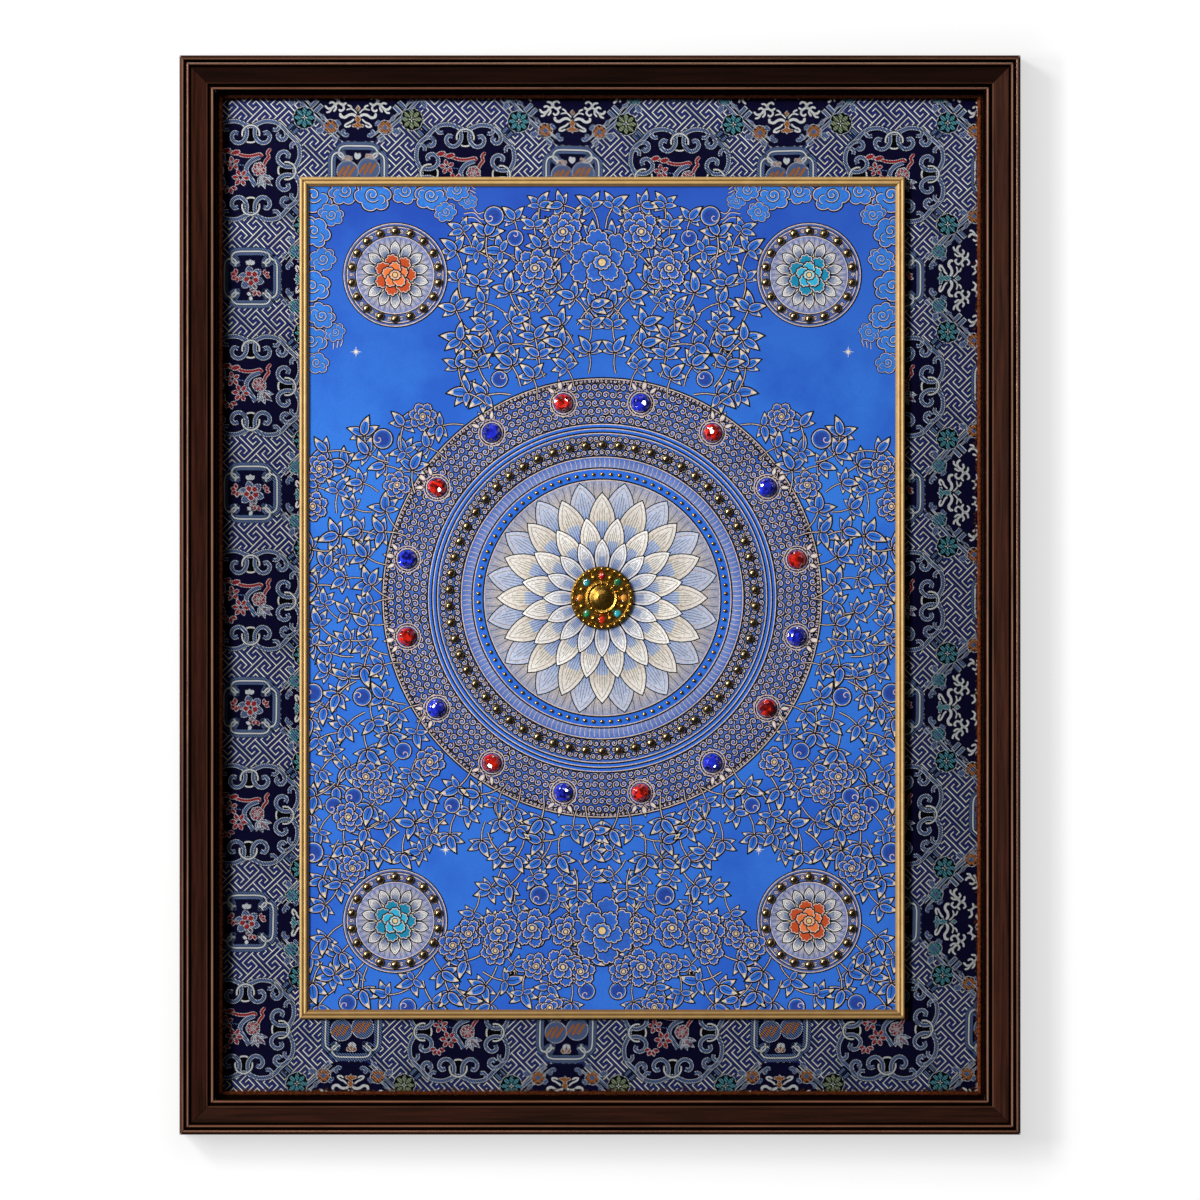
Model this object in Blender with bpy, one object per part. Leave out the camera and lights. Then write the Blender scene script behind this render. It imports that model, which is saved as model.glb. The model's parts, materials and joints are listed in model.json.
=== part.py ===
"""Framed thangka: a textile picture on a brocade ground, in a moulded wooden frame.

Metres, +Z up. The front faces -Y and the back lies in the plane Y = 0. The origin is the
middle of the top rail's back face, where the frame bears on the wall. Sections are drawn in
millimetres, as (inset from the outer edge, height above the back plane).
"""

import math

import bmesh
import bpy
from mathutils import Vector

MM = 0.001

# Driving sizes, in millimetres
FRAME_WIDTH = 600.0
FRAME_HEIGHT = 770.0
RAIL_WIDTH = 30.0
REBATE_WIDTH = 6.0
GAP = 0.3

BOARD_BACK = 0.5
BOARD_THICKNESS = 3.0
BROCADE_THICKNESS = 1.5
PICTURE_THICKNESS = 1.2
POCKET_PLAY = 1.0

FILLET_OUTER_WIDTH = 432.7
FILLET_OUTER_HEIGHT = 602.0
FILLET_WIDTH = 6.7
FILLET_REBATE = 2.5
PICTURE_PLAY = 0.5
PICTURE_RIGHT = 1.5
PICTURE_DOWN = 2.1

# Heights above the back plane
BROCADE_BACK = BOARD_BACK + BOARD_THICKNESS + GAP
BROCADE_FRONT = BROCADE_BACK + BROCADE_THICKNESS
LIP_BACK = BROCADE_FRONT + GAP
PICTURE_FRONT = LIP_BACK + PICTURE_THICKNESS
TRIM_BACK = PICTURE_FRONT + GAP

# Stones: alternating blue and red on a circle about the middle of the picture
STONE_COUNT = 16
STONE_CIRCLE_RADIUS = 142.0
STONE_RADIUS = 6.5
STONE_SIDES = 16
STONE_RINGS = (
    # radius, height, points, turned by half a step
    (STONE_RADIUS, 0.0, STONE_SIDES, False),
    (STONE_RADIUS, 1.1, STONE_SIDES, False),
    (5.2, 2.7, STONE_SIDES // 2, True),
    (3.5, 3.9, STONE_SIDES // 2, False),
)

# The gilt boss at the middle of the picture, turned about its own axis
BOSS_STEPS = 48
BOSS_SECTION = (
    # radius, height above its seat
    (0.0, 0.0),
    (22.5, 0.0),
    (22.5, 1.4),
    (21.4, 2.2),
    (19.8, 2.3),
    (18.9, 1.6),
    (12.6, 1.6),
    (11.8, 2.5),
    (10.4, 2.9),
    (9.0, 2.4),
    (8.2, 2.9),
    (5.8, 4.5),
    (3.0, 5.4),
    (0.0, 5.7),
)

BEAD_STEPS = 10

COLOURS = {
    # name: red, green, blue, roughness, metallic
    "stained_wood": (0.021, 0.009, 0.007, 0.32, 0.0),
    "gilt_wood": (0.600, 0.390, 0.160, 0.38, 0.6),
    "backing": (0.240, 0.150, 0.080, 0.85, 0.0),
    "brocade": (0.030, 0.036, 0.085, 0.70, 0.0),
    "picture_cloth": (0.030, 0.160, 0.640, 0.75, 0.0),
    "blue_glass": (0.010, 0.012, 0.300, 0.08, 0.0),
    "red_glass": (0.420, 0.010, 0.008, 0.08, 0.0),
    "gilt_metal": (0.600, 0.360, 0.090, 0.30, 1.0),
}


def clear_scene():
    """Remove every object of the start-up scene."""
    for item in list(bpy.data.objects):
        bpy.data.objects.remove(item, do_unlink=True)


def material(name):
    """The plain finish of a piece, from the table of colours."""
    found = bpy.data.materials.get(name)
    if found:
        return found
    red, green, blue, roughness, metallic = COLOURS[name]
    made = bpy.data.materials.new(name)
    made.use_nodes = True
    shader = made.node_tree.nodes["Principled BSDF"]
    shader.inputs["Base Color"].default_value = (red, green, blue, 1.0)
    shader.inputs["Roughness"].default_value = roughness
    shader.inputs["Metallic"].default_value = metallic
    return made


def finish(name, form, finish_name, smooth_degrees=35.0):
    """Make the object of a closed form and give it its finish."""
    bmesh.ops.recalc_face_normals(form, faces=form.faces)
    if form.calc_volume(signed=True) < 0:
        bmesh.ops.reverse_faces(form, faces=form.faces)
    mesh = bpy.data.meshes.new(name)
    form.to_mesh(mesh)
    form.free()
    mesh.materials.append(material(finish_name))
    mesh.shade_smooth()
    mesh.set_sharp_from_angle(angle=math.radians(smooth_degrees))
    item = bpy.data.objects.new(name, mesh)
    bpy.context.scene.collection.objects.link(item)
    return item


def bead(start, end, foot, crown, steps=BEAD_STEPS):
    """A half-round moulding between two insets, as half an ellipse."""
    middle, half = (start + end) / 2, (end - start) / 2
    turns = [math.pi * step / steps for step in range(steps + 1)]
    return [(middle - half * math.cos(t), foot + (crown - foot) * math.sin(t)) for t in turns]


def hollow(start, end, steps=6):
    """A quarter-round cove that falls from start to end, steep first and level last."""
    wide, deep = end[0] - start[0], end[1] - start[1]
    turns = [math.pi / 2 * step / steps for step in range(1, steps + 1)]
    return [(start[0] + wide * (1 - math.cos(t)), start[1] + deep * math.sin(t)) for t in turns]


def frame_section():
    """Section of the frame moulding: two outer beads, a sloping field, an inner bead, a lip."""
    rebate = RAIL_WIDTH - REBATE_WIDTH
    outline = [(0.0, 0.0), (0.0, 21.6), (0.4, 22.3)]
    outline += bead(0.6, 3.6, 22.4, 24.2)
    outline += [(3.75, 21.9), (4.35, 21.9)]
    outline += bead(4.5, 7.2, 22.6, 25.0)
    outline += [(7.35, 22.2), (8.3, 22.3)]
    outline += [(8.6, 23.4), (19.4, 20.6), (19.8, 20.2)]
    outline += [(20.3, 18.6), (21.8, 18.6)]
    outline += bead(22.0, 24.4, 18.9, 20.6)
    outline += hollow((24.5, 18.0), (27.2, 10.2))
    outline += bead(27.25, RAIL_WIDTH, 8.6, 9.9)
    outline += [(RAIL_WIDTH, LIP_BACK), (rebate, LIP_BACK), (rebate, 0.0)]
    return outline


def fillet_section():
    """Section of the gilt fillet: two ridges and a rebate that holds the picture's edge."""
    rebate = FILLET_WIDTH - FILLET_REBATE
    outline = [(0.0, LIP_BACK), (0.0, 9.3)]
    outline += bead(0.1, 2.6, 9.5, 10.9)
    outline += [(2.75, 9.2)]
    outline += bead(2.9, 5.3, 9.3, 10.2)
    outline += [(5.45, 8.9), (6.3, 8.4), (FILLET_WIDTH, 8.0)]
    outline += [(FILLET_WIDTH, TRIM_BACK), (rebate, TRIM_BACK), (rebate, LIP_BACK)]
    return outline


def mitred_rail(section, length, inset_to_middle, quarter_turns, centre):
    """One rail of a rectangular frame, its ends mitred at 45 degrees.

    The section runs along the rail. A rail made with no turn is the bottom one: its outer
    edge is inset_to_middle below the frame's centre. Half of the gap is kept at each mitre.
    """
    pull_back = GAP / 2 / math.sin(math.radians(45))
    form = bmesh.new()
    near = [form.verts.new((0.0, -height, inset)) for inset, height in section]
    face = form.faces.new(near)
    swept = bmesh.ops.extrude_face_region(form, geom=[face], use_keep_orig=True)
    far = [part for part in swept["geom"] if isinstance(part, bmesh.types.BMVert)]
    for side, points in ((-1, near), (1, far)):
        for point in points:
            point.co.x = side * (length / 2 - point.co.z - pull_back)
    for point in form.verts:
        across, up = point.co.x, point.co.z - inset_to_middle
        for _ in range(quarter_turns):
            across, up = -up, across
        point.co = Vector((across + centre[0], point.co.y, up + centre[1])) * MM
    return form


def slab(width, height, back, front, centre):
    """A flat rectangular sheet or board between two heights above the back plane."""
    form = bmesh.new()
    bmesh.ops.create_cube(form, size=1.0)
    for point in form.verts:
        point.co.x = (point.co.x * width + centre[0]) * MM
        point.co.z = (point.co.z * height + centre[1]) * MM
        point.co.y = (-front if point.co.y < 0 else -back) * MM
    return form


def stone(centre, back):
    """A faceted round stone with a flat back: the hull of its girdle, crown and table."""
    form = bmesh.new()
    for radius, height, points, turned in STONE_RINGS:
        for index in range(points):
            angle = 2 * math.pi * (index + 0.5 * turned) / points
            across, up = radius * math.cos(angle), radius * math.sin(angle)
            place = Vector((across + centre[0], -(back + height), up + centre[1]))
            form.verts.new(place * MM)
    bmesh.ops.convex_hull(form, input=form.verts)
    bmesh.ops.triangulate(form, faces=form.faces)
    return form


def boss(centre, back):
    """The gilt boss, spun about the axis that points out of the picture."""
    form = bmesh.new()
    axis = Vector((centre[0], 0.0, centre[1])) * MM
    points = [form.verts.new(axis + Vector((r, -(back + h), 0.0)) * MM) for r, h in BOSS_SECTION]
    edges = [form.edges.new(pair) for pair in zip(points, points[1:])]
    bmesh.ops.spin(
        form,
        geom=points + edges,
        cent=axis,
        axis=(0.0, 1.0, 0.0),
        angle=2 * math.pi,
        steps=BOSS_STEPS,
        use_merge=True,
    )
    bmesh.ops.remove_doubles(form, verts=form.verts, dist=0.00001)
    return form


def rails(prefix, section, width, height, centre, finish_name):
    """Four mitred rails around a centre, named after their sides."""
    sides = (
        ("bottom", width, height / 2, 0),
        ("right", height, width / 2, 1),
        ("top", width, height / 2, 2),
        ("left", height, width / 2, 3),
    )
    for side, length, reach, turns in sides:
        form = mitred_rail(section, length, reach, turns, centre)
        finish(f"{prefix}_{side}", form, finish_name)


def build():
    """Make every piece, from the frame inwards."""
    clear_scene()
    back_face_middle = (RAIL_WIDTH - REBATE_WIDTH) / 2
    middle = (0.0, back_face_middle - FRAME_HEIGHT / 2)
    picture_middle = (middle[0] + PICTURE_RIGHT, middle[1] - PICTURE_DOWN)

    rails("frame", frame_section(), FRAME_WIDTH, FRAME_HEIGHT, middle, "stained_wood")

    pocket_inset = 2 * (RAIL_WIDTH - REBATE_WIDTH + POCKET_PLAY)
    panel_width, panel_height = FRAME_WIDTH - pocket_inset, FRAME_HEIGHT - pocket_inset
    board_front = BOARD_BACK + BOARD_THICKNESS
    board = slab(panel_width, panel_height, BOARD_BACK, board_front, middle)
    finish("backing_board", board, "backing")
    cloth = slab(panel_width, panel_height, BROCADE_BACK, BROCADE_FRONT, middle)
    finish("brocade_sheet", cloth, "brocade")

    picture_inset = 2 * (FILLET_WIDTH - FILLET_REBATE + PICTURE_PLAY)
    picture_width = FILLET_OUTER_WIDTH - picture_inset
    picture_height = FILLET_OUTER_HEIGHT - picture_inset
    picture = slab(picture_width, picture_height, LIP_BACK, PICTURE_FRONT, picture_middle)
    finish("picture_sheet", picture, "picture_cloth")
    rails(
        "fillet",
        fillet_section(),
        FILLET_OUTER_WIDTH,
        FILLET_OUTER_HEIGHT,
        picture_middle,
        "gilt_wood",
    )

    finish("boss", boss(picture_middle, TRIM_BACK), "gilt_metal")
    for index in range(STONE_COUNT):
        angle = 2 * math.pi * (index + 0.5) / STONE_COUNT
        place = (
            picture_middle[0] + STONE_CIRCLE_RADIUS * math.sin(angle),
            picture_middle[1] + STONE_CIRCLE_RADIUS * math.cos(angle),
        )
        hue = "blue" if index % 2 == 0 else "red"
        form = stone(place, TRIM_BACK)
        finish(f"stone_{hue}_{index // 2 + 1}", form, f"{hue}_glass", smooth_degrees=1.0)


if __name__ == "__main__":
    build()
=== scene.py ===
"""Looks of a framed thangka: a painted cloth on figured brocade, in a moulded wooden frame.

Drawings are laid out in millimetres, across and up from the middle of the cloth they lie on,
and every layer has a height above that cloth. The front of the object faces -Y.
"""

import json
import logging
import math
from collections.abc import Callable
from dataclasses import dataclass, field, replace
from enum import Enum

import bmesh
import bpy
import numpy as np
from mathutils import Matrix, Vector

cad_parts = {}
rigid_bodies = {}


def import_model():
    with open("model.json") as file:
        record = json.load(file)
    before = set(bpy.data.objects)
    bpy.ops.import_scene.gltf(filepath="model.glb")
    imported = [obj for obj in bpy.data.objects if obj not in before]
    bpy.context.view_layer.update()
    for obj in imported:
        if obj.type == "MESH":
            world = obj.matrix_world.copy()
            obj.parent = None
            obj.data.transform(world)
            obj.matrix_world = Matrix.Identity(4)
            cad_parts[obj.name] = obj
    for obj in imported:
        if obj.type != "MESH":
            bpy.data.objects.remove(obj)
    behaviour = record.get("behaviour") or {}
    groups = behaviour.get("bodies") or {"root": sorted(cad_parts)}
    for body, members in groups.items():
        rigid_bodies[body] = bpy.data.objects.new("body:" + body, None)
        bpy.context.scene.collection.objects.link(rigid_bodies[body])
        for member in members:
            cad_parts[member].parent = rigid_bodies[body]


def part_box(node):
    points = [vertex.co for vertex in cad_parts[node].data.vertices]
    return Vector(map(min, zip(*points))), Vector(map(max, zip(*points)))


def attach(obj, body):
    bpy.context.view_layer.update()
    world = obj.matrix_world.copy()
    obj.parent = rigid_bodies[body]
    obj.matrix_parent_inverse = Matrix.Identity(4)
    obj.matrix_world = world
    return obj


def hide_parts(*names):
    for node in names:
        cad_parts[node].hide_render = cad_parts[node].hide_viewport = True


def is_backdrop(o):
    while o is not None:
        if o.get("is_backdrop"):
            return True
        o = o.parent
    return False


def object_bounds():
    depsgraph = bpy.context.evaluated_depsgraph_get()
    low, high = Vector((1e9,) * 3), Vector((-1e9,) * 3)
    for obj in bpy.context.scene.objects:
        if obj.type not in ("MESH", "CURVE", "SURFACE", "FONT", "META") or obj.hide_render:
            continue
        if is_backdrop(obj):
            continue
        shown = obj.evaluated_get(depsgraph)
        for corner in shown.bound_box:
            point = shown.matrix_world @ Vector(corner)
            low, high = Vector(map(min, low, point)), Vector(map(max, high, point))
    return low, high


LOG = logging.getLogger("thangka")
MM = 0.001
FULL_TURN = 2 * math.pi

# The export bakes colours through a map of this name; here it is a plain front projection.
FRONT_MAP = "OFBake"
TINT = "tint"

Point = tuple[float, float]
Colour = tuple[float, float, float]
Path = list[Point]
Tree = bpy.types.NodeTree
Node = bpy.types.Node
Socket = bpy.types.NodeSocket
Mesh = bpy.types.Mesh


# ---------------------------------------------------------------- colours and nodes


def linear(code: str) -> Colour:
    """Turn an sRGB hex code into linear light.

    Args:
        code: a colour such as "#2f6fd6".

    Returns:
        Red, green and blue in linear light.
    """
    shares = [int(code[i : i + 2], 16) / 255 for i in (1, 3, 5)]
    return tuple(c / 12.92 if c <= 0.04045 else ((c + 0.055) / 1.055) ** 2.4 for c in shares)


def opaque(code: str) -> tuple[float, float, float, float]:
    """The linear colour of a hex code with an alpha of one."""
    return (*linear(code), 1.0)


def feed(tree: Tree, node: Node, inputs: dict) -> None:
    """Set a node's inputs, linking those that are given a socket.

    Args:
        tree: the node's tree.
        node: the node.
        inputs: values or sockets by input name or index.
    """
    for key, value in inputs.items():
        if isinstance(value, Socket):
            tree.links.new(value, node.inputs[key])
        else:
            node.inputs[key].default_value = value


def add_node(tree: Tree, kind: str, inputs: dict | None = None, **settings) -> Node:
    """Add one node, set its properties, then set or link its inputs.

    Args:
        tree: the shader or geometry tree that gets the node.
        kind: the node's type name.
        inputs: values or sockets by input name or index.
        **settings: properties of the node itself.

    Returns:
        The new node.
    """
    node = tree.nodes.new(kind)
    for name, value in settings.items():
        setattr(node, name, value)
    feed(tree, node, inputs or {})
    return node


def mixed(tree: Tree, share: object, first: object, second: object, how: str = "MIX") -> Socket:
    """Mix two colours by a share.

    Args:
        tree: the shader tree.
        share: a number or socket, 0 for the first colour and 1 for the second.
        first: hex code or socket.
        second: hex code or socket.
        how: the blend type.

    Returns:
        The mixed colour's socket.
    """
    ends = [opaque(end) if isinstance(end, str) else end for end in (first, second)]
    inputs = {0: share, 6: ends[0], 7: ends[1]}
    return add_node(tree, "ShaderNodeMix", inputs, data_type="RGBA", blend_type=how).outputs[2]


def dimmed(tree: Tree, colour: object, code: str) -> Socket:
    """A colour multiplied by that of a hex code."""
    return mixed(tree, 1.0, colour, code, "MULTIPLY")


def ranged(
    tree: Tree, value: Socket, low: float, high: float, to_low: float = 0.0, to_high: float = 1.0
) -> Socket:
    """Map a value from one range to another, held at its ends.

    Args:
        tree: the shader tree.
        value: the socket to map.
        low: start of the first range.
        high: end of the first range.
        to_low: start of the second range.
        to_high: end of the second range.

    Returns:
        The mapped value's socket.
    """
    inputs = {0: value, 1: low, 2: high, 3: to_low, 4: to_high}
    return add_node(tree, "ShaderNodeMapRange", inputs).outputs[0]


def worked(tree: Tree, how: str, first: object, second: object = 0.0) -> Socket:
    """The result of one sum on one or two values."""
    return add_node(tree, "ShaderNodeMath", {0: first, 1: second}, operation=how).outputs[0]


def vector(tree: Tree, how: str, first: object, second: object = (0.0, 0.0, 0.0)) -> Socket:
    """The result of one sum on one or two vectors."""
    return add_node(tree, "ShaderNodeVectorMath", {0: first, 1: second}, operation=how).outputs[0]


def axis(tree: Tree, value: Socket, index: int) -> Socket:
    """One part of a vector: 0 for X, 1 for Y, 2 for Z."""
    return add_node(tree, "ShaderNodeSeparateXYZ", {0: value}).outputs[index]


def surface(tree: Tree, name: str) -> Socket:
    """One fact about the surface that is being shaded, such as its normal."""
    return add_node(tree, "ShaderNodeNewGeometry").outputs[name]


def noise(
    tree: Tree, place: Socket, size_mm: float, detail: float, rough: float = 0.5, bent: float = 0.0
) -> Socket:
    """Cloudy noise.

    Args:
        tree: the shader tree.
        place: where it is read.
        size_mm: size of its features.
        detail: how many finer layers it has.
        rough: how strong the finer layers are.
        bent: how far its shapes are dragged about.

    Returns:
        Its value's socket.
    """
    inputs = {0: place, 2: spot_scale(size_mm), 3: detail, 4: rough, 8: bent}
    return add_node(tree, "ShaderNodeTexNoise", inputs).outputs[0]


def bumped(
    tree: Tree,
    height: Socket,
    strength: float,
    depth_mm: float,
    normal: Socket | None = None,
    sunk: bool = False,
) -> Socket:
    """A normal that follows small relief.

    Args:
        tree: the shader tree.
        height: the relief, from 0 to 1.
        strength: how much of it shows.
        depth_mm: how high it is.
        normal: the normal that it bends, if not the mesh's own.
        sunk: whether it goes inwards.

    Returns:
        The normal's socket.
    """
    inputs = {0: strength, 1: depth_mm * MM, 3: height}
    if normal:
        inputs[4] = normal
    return add_node(tree, "ShaderNodeBump", inputs, invert=sunk).outputs[0]


def ramp(tree: Tree, value: Socket, stops: tuple[Point, ...], reach: float) -> Socket:
    """Map a value through a few stops, straight from one to the next.

    Args:
        tree: the shader tree.
        value: the socket to map, from 0 to reach.
        stops: pairs of a value and what it becomes.
        reach: the value of the ramp's end.

    Returns:
        The mapped value's socket.
    """
    node = add_node(tree, "ShaderNodeValToRGB", {0: ranged(tree, value, 0.0, reach)})
    marks = node.color_ramp.elements
    while len(marks) < len(stops):
        marks.new(1.0)
    for mark, (place, grey) in zip(marks, stops):
        mark.position = place / reach
        mark.color = (grey, grey, grey, 1.0)
    return node.outputs[0]


def band_scale(pitch_mm: float) -> float:
    """Scale that gives a wave texture one band each pitch, as it turns 20 radians a metre."""
    return FULL_TURN / (20 * pitch_mm * MM)


def spot_scale(size_mm: float) -> float:
    """Scale that gives a noise or cell texture features of about this size."""
    return 1 / (size_mm * MM)


# ---------------------------------------------------------------- finishes


@dataclass(frozen=True)
class Finish:
    """A named surface finish. Each kind below draws its own nodes."""

    name: str

    def material(self) -> bpy.types.Material:
        """The finish's material, built on first use.

        Returns:
            The material, shared by every piece that wears the finish.
        """
        found = bpy.data.materials.get(self.name)
        if found:
            return found
        made = bpy.data.materials.new(self.name)
        made.use_nodes = True
        tree = made.node_tree
        place = add_node(tree, "ShaderNodeTexCoord").outputs["Object"]
        self.draw(tree, tree.nodes["Principled BSDF"], place)
        return made

    def draw(self, tree: Tree, shader: Node, place: Socket) -> None:
        """Link the finish's nodes to its shader.

        Args:
            tree: the material's tree.
            shader: its Principled node.
            place: object coordinates, in metres.
        """
        raise NotImplementedError


@dataclass(frozen=True)
class Thread(Finish):
    """Silk thread laid in a twill: metallic sheen, fine diagonal dots of a second thread.

    The real threads are 0.3 mm apart. They are drawn coarser so that they show. They run upright
    and lean a little upwards, so a lamp's sheen spreads sideways and fades towards the foot.
    """

    main: str
    fleck: str
    share: float = 0.5
    pitch: float = 1.45
    roughness: float = 0.42
    relief: float = 0.2
    lean: float = 0.16
    returned: str = "#8c8c8c"

    def draw(self, tree: Tree, shader: Node, place: Socket) -> None:
        """A strong diagonal wave crossed by a weak one makes the twill; slow noise makes it uneven."""
        turned = add_node(tree, "ShaderNodeMapping", {0: place, 2: (0.0, math.radians(45), 0.0)}).outputs[0]
        weave = {0: turned, 1: band_scale(self.pitch), 2: 0.6, 4: 3.0}
        strong, weak = (
            add_node(tree, "ShaderNodeTexWave", weave, bands_direction=way).outputs[1] for way in ("X", "Z")
        )
        dots = worked(tree, "MULTIPLY", strong, ranged(tree, weak, 0.0, 1.0, 0.7, 1.0))
        uneven = ranged(tree, noise(tree, place, 5.0, 3.0), 0.3, 0.7, 0.0, 0.35)
        main = mixed(tree, uneven, self.main, "#0b0a1e")
        woven = mixed(tree, ranged(tree, dots, 0.44, 0.6, 0.0, self.share), main, self.fleck)
        leaning = vector(tree, "ADD", surface(tree, "Normal"), (0.0, 0.0, self.lean))
        upright = vector(tree, "NORMALIZE", leaning)
        looks = {
            "Base Color": dimmed(tree, woven, self.returned),
            "Roughness": ranged(tree, dots, 0.0, 0.6, self.roughness + 0.1, self.roughness - 0.05),
            "Normal": bumped(tree, dots, self.relief, 0.15, normal=upright),
            "Tangent": add_node(tree, "ShaderNodeCombineXYZ", {0: 1.0}).outputs[0],
            "Anisotropic": 0.97,
            "Metallic": 0.88,
            "Specular IOR Level": 0.1,
        }
        feed(tree, shader, looks)


@dataclass(frozen=True)
class Paint(Finish):
    """Matt mineral paint on primed canvas: slight grain, brushed unevenness, no gloss."""

    hue: str = ""
    spread: float = 0.25
    roughness: float = 0.72

    def draw(self, tree: Tree, shader: Node, place: Socket) -> None:
        """Take one hue, or the hue painted on each point, and break it up with canvas grain."""
        base = self.hue or add_node(tree, "ShaderNodeAttribute", attribute_name=TINT).outputs["Color"]
        grain = noise(tree, place, 1.3, 2.0)
        brush = noise(tree, place, 24.0, 4.0)
        deep = dimmed(tree, base, "#b4b4bc")
        grained = mixed(tree, ranged(tree, grain, 0.35, 0.7, 0.0, self.spread * 2), base, deep)
        looks = {
            "Base Color": mixed(tree, ranged(tree, brush, 0.35, 0.65, 0.0, self.spread), grained, deep),
            "Roughness": ranged(tree, grain, 0.3, 0.7, self.roughness - 0.1, self.roughness + 0.1),
            "Normal": bumped(tree, grain, 0.25, 0.1),
            "Specular IOR Level": 0.15,
        }
        feed(tree, shader, looks)


@dataclass(frozen=True)
class PaintedGround(Finish):
    """Bright blue painted ground: darker towards the top edge, with soft cloudy mottling."""

    top: str
    middle: str
    foot: str
    low: float
    high: float

    def draw(self, tree: Tree, shader: Node, place: Socket) -> None:
        """Shade from foot to top by height, then mottle, then add the canvas grain."""
        height = axis(tree, place, 2)
        span = self.high - self.low
        rise = ranged(tree, height, self.low + 0.2 * span, self.low + 0.62 * span)
        fall = ranged(tree, height, self.low + 0.66 * span, self.high)
        shaded = mixed(tree, fall, mixed(tree, rise, self.foot, self.middle), self.top)
        cloud = ranged(tree, noise(tree, place, 70.0, 5.0, 0.6), 0.42, 0.62, 0.0, 0.7)
        mottled = mixed(tree, cloud, shaded, dimmed(tree, shaded, "#b6c2e6"))
        grain = noise(tree, place, 1.1, 2.0)
        looks = {
            "Base Color": mixed(tree, ranged(tree, grain, 0.4, 0.75, 0.0, 0.3), mottled, "#1c49b4"),
            "Roughness": ranged(tree, grain, 0.3, 0.7, 0.6, 0.78),
            "Normal": bumped(tree, grain, 0.25, 0.1),
            "Specular IOR Level": 0.15,
        }
        feed(tree, shader, looks)


# Insets from the rails' outer edge, in millimetres, with how far the stain is lightened there, partly wear
# and partly a painted highlight on the crowns, and how open the section is, which sets the painted shade: 1
# on the crowns and the field, less in the grooves.
RAIL_WIDTH = 30.0
CROWN_WEAR_AND_HIGHLIGHT = (
    (0.0, 0.4), (0.9, 0.1), (1.7, 0.1), (2.0, 0.7), (2.6, 0.7), (3.0, 0.0), (5.4, 0.0), (5.7, 1.0),
    (6.4, 1.0), (6.8, 0.0), (19.1, 0.0), (19.4, 0.4), (19.8, 0.4), (20.1, 0.0), (22.6, 0.0),
    (22.9, 1.0), (23.7, 1.0), (24.1, 0.0),
)  # fmt: skip
GROOVE_PAINTED_SHADE = (
    (0.0, 1.0), (3.1, 1.0), (3.5, 0.12), (4.6, 0.12), (5.0, 1.0), (7.0, 1.0), (7.4, 0.15), (8.4, 0.15),
    (8.8, 1.0), (19.9, 1.0), (20.3, 0.1), (21.9, 0.1), (22.3, 1.0), (24.1, 1.0), (24.5, 0.1),
    (27.2, 0.1), (27.5, 1.0),
)  # fmt: skip


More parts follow.
